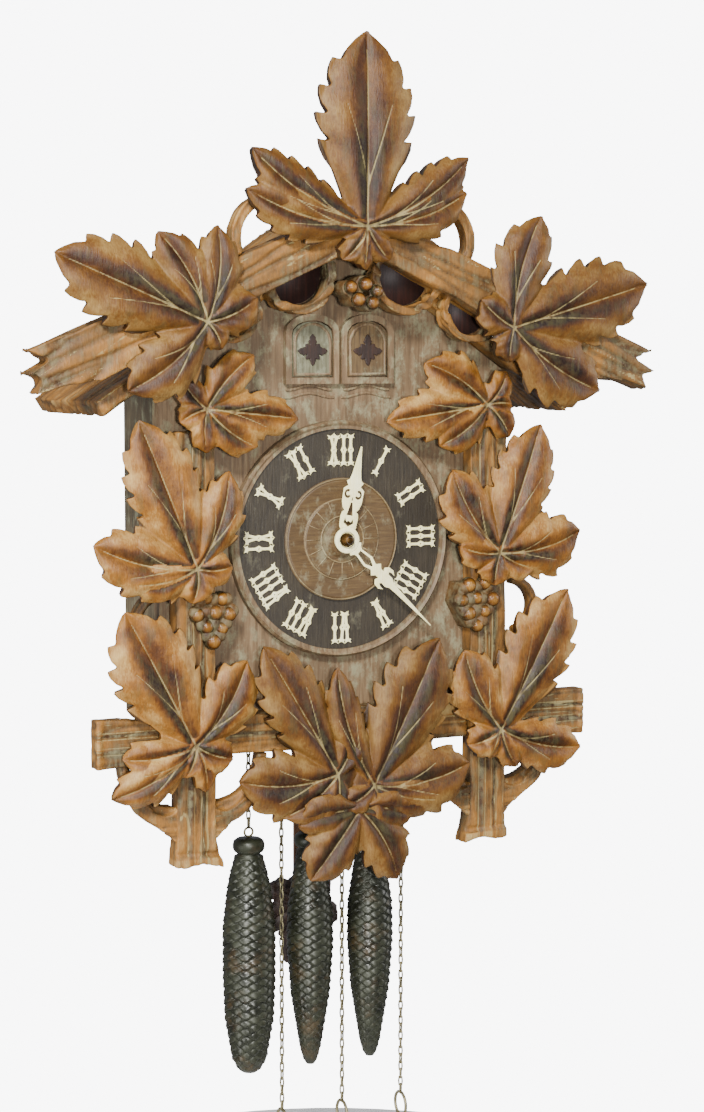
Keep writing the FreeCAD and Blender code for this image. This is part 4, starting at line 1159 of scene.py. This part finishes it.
# Each cone's (height, radius) points in mm; the left one is broader.
SLIM = [(0, 3), (4, 6), (14, 9), (60, 17), (100, 20), (130, 19.5), (165, 14), (178, 11)]
BROAD = [(0, 5), (3, 10), (12, 15), (45, 21), (80, 22.5), (120, 22.5), (150, 19), (165, 16), (178, 12)]
CONES = {"left": BROAD, "center": SLIM, "right": SLIM}
CONE_TALL = 178
SCALE_ROWS = 26          # whole scales from top to bottom; each half row is set off by half a scale
SCALES_ROUND = 8


def cone(name, profile):
    """A cast pine cone: overlapping lens-shaped scales, a smooth cap and a knob."""
    node = "weight_" + name
    low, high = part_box(node)
    x, forward, foot = (low.x + high.x) / 2 / MM, -(low.y + high.y) / 2 / MM, (low.z - DIAL.z) / MM
    tall = [t for t, r in profile]
    wide = [r for t, r in profile]
    line = [(0.0, 0.0)]
    line += [(float(np.interp(t, tall, wide)), float(t)) for t in np.linspace(0.3, CONE_TALL, 250)]
    bm = spun(line + [(0.0, CONE_TALL + 0.2)], forward, x, foot, 88, True)
    mesh = as_mesh(bm, node)
    px, pf, pa = points_of(mesh)
    turn, up = np.arctan2(pf - forward, px - x), pa - foot
    radius = np.hypot(px - x, pf - forward)
    row = up / CONE_TALL * SCALE_ROWS
    swing = turn * SCALES_ROUND / (2 * math.pi) + 0.3
    first, second = (row + swing) % 1, (row - swing) % 1
    along, aside = first + second - 1, first - second
    lens = np.clip(1 - np.abs(aside) ** 2.2, 0, 1)
    rise = np.clip((1 - along) / 2, 0, 1) ** 0.8 * lens
    lip = np.clip((np.abs(along) + np.abs(aside) - 0.82) / 0.18, 0, 1)
    share = 1 - 0.12 * (1 - rise) - 0.05 * lip
    fade = np.clip(up / 3, 0, 1) * np.clip((CONE_TALL - up) / 2, 0, 1)
    share = 1 + (share - 1) * fade
    put_points(mesh, x + (px - x) * share, forward + (pf - forward) * share, pa)
    piece(node + "_scales", mesh, cone_iron, node, [node])
    cap = [(0, 175), (10.5, 176.5), (11.2, 178.4), (9.4, 179.8), (9.2, 180.6), (11.6, 182), (12.8, 184.4),
           (13, 187.6), (12.2, 190.6), (9.6, 192.6), (5, 193.1), (0, 193.2)]
    piece(node + "_cap", spun(cap, forward, x, foot, 48, True), cone_iron, node, ())


for label, outline in CONES.items():
    cone(label, outline)

# ---- chains -------------------------------------------------------------------------------------

PITCH = 6.5          # mm from one link to the next
WIRE = 0.78          # mm, radius of the links' wire


def hoop(radius, wire, sides, steps):
    """A round wire hoop about the origin that stands up and faces the front."""
    bm = bmesh.new()
    bmesh.ops.create_circle(bm, segments=sides, radius=wire * MM)
    bmesh.ops.translate(bm, verts=bm.verts, vec=(radius * MM, 0, 0))
    bmesh.ops.spin(bm, geom=bm.verts[:] + bm.edges[:], cent=(0, 0, 0), axis=(0, 1, 0), angle=2 * math.pi,
                   steps=steps, use_merge=True)
    bmesh.ops.remove_doubles(bm, verts=bm.verts, dist=0.01 * MM)
    bmesh.ops.recalc_face_normals(bm, faces=bm.faces)
    return bm


def link_mesh():
    """One oval chain link of a few dozen faces, standing up about the origin."""
    bm = hoop(1.5, WIRE, 5, 10)
    for vert in bm.verts:
        if abs(vert.co.z) > 0.01 * MM:
            vert.co.z += math.copysign(2.5 * MM, vert.co.z)
    return as_mesh(bm, "link")


def strand(x, forward, low, high, link):
    """Links from low to high, each turned a quarter from the last."""
    bm = bmesh.new()
    count = max(1, round((high - low) / PITCH))
    step = (high - low) / count
    for k in range(count):
        before = len(bm.verts)
        bm.from_mesh(link)
        bm.verts.ensure_lookup_table()
        new = bm.verts[before:]
        turn = math.radians(40 + 90 * (k % 2) + 9 * math.sin(k * 1.3))
        bmesh.ops.rotate(bm, verts=new, matrix=Matrix.Rotation(turn, 3, "Z"))
        bmesh.ops.translate(bm, verts=new, vec=at(x, forward, low + (k + 0.5) * step))
    return bm


def ring(x, forward, above, radius, wire, sideways=False):
    """A round wire ring that stands up in its place, facing the front or sideways."""
    bm = hoop(radius, wire, 10, 36)
    if sideways:
        bmesh.ops.rotate(bm, verts=bm.verts, matrix=Matrix.Rotation(math.pi / 2, 3, "Z"))
    bmesh.ops.translate(bm, verts=bm.verts, vec=at(x, forward, above))
    return bm


def chains():
    """The chains as links: each weight's with its hook, each free one with the ring at its end."""
    link = link_mesh()
    for name in CONES:
        pull, tail = "weight_chain_" + name, "free_chain_" + name
        low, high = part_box(pull)
        x, forward = (low.x + high.x) / 2 / MM, -(low.y + high.y) / 2 / MM
        foot, head = (low.z - DIAL.z) / MM, (high.z - DIAL.z) / MM
        links = strand(x, forward, foot + 9, head, link)
        hook = ring(x, forward, foot + 4.6, 3.6, 0.9)
        piece(pull + "_links", joined([links, hook]), worn_chain, "weight_" + name, [pull])
        low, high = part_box(tail)
        x = (low.x + high.x) / 2 / MM
        foot, head = (low.z - DIAL.z) / MM, (high.z - DIAL.z) / MM
        links = strand(x, forward, foot + 21, head, link)
        end = ring(x, forward, foot + 11.3, 10, 1.3, True)
        piece(tail + "_links", joined([links, end]), worn_chain, tail, [tail])


chains()

# ---- pendulum -----------------------------------------------------------------------------------

def bob():
    """A small carved leaf on the pendulum rod."""
    low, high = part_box("pendulum_bob")
    x, top = (low.x + high.x) / 2 / MM, (high.z - DIAL.z) / MM
    foot = (x, top - 30)
    lobes = [(90, 28, 13), (145, 34, 14), (35, 34, 14), (205, 38, 15), (335, 38, 15), (270, 56, 20)]
    front, thick = -low.y / MM, (high.y - low.y) / MM
    mesh = carved_leaf(foot, lobes, front, thick, 4.5, None, 1.0)
    piece("bob_leaf", mesh, dark_stain, "bob", ["pendulum_bob"])


bob()
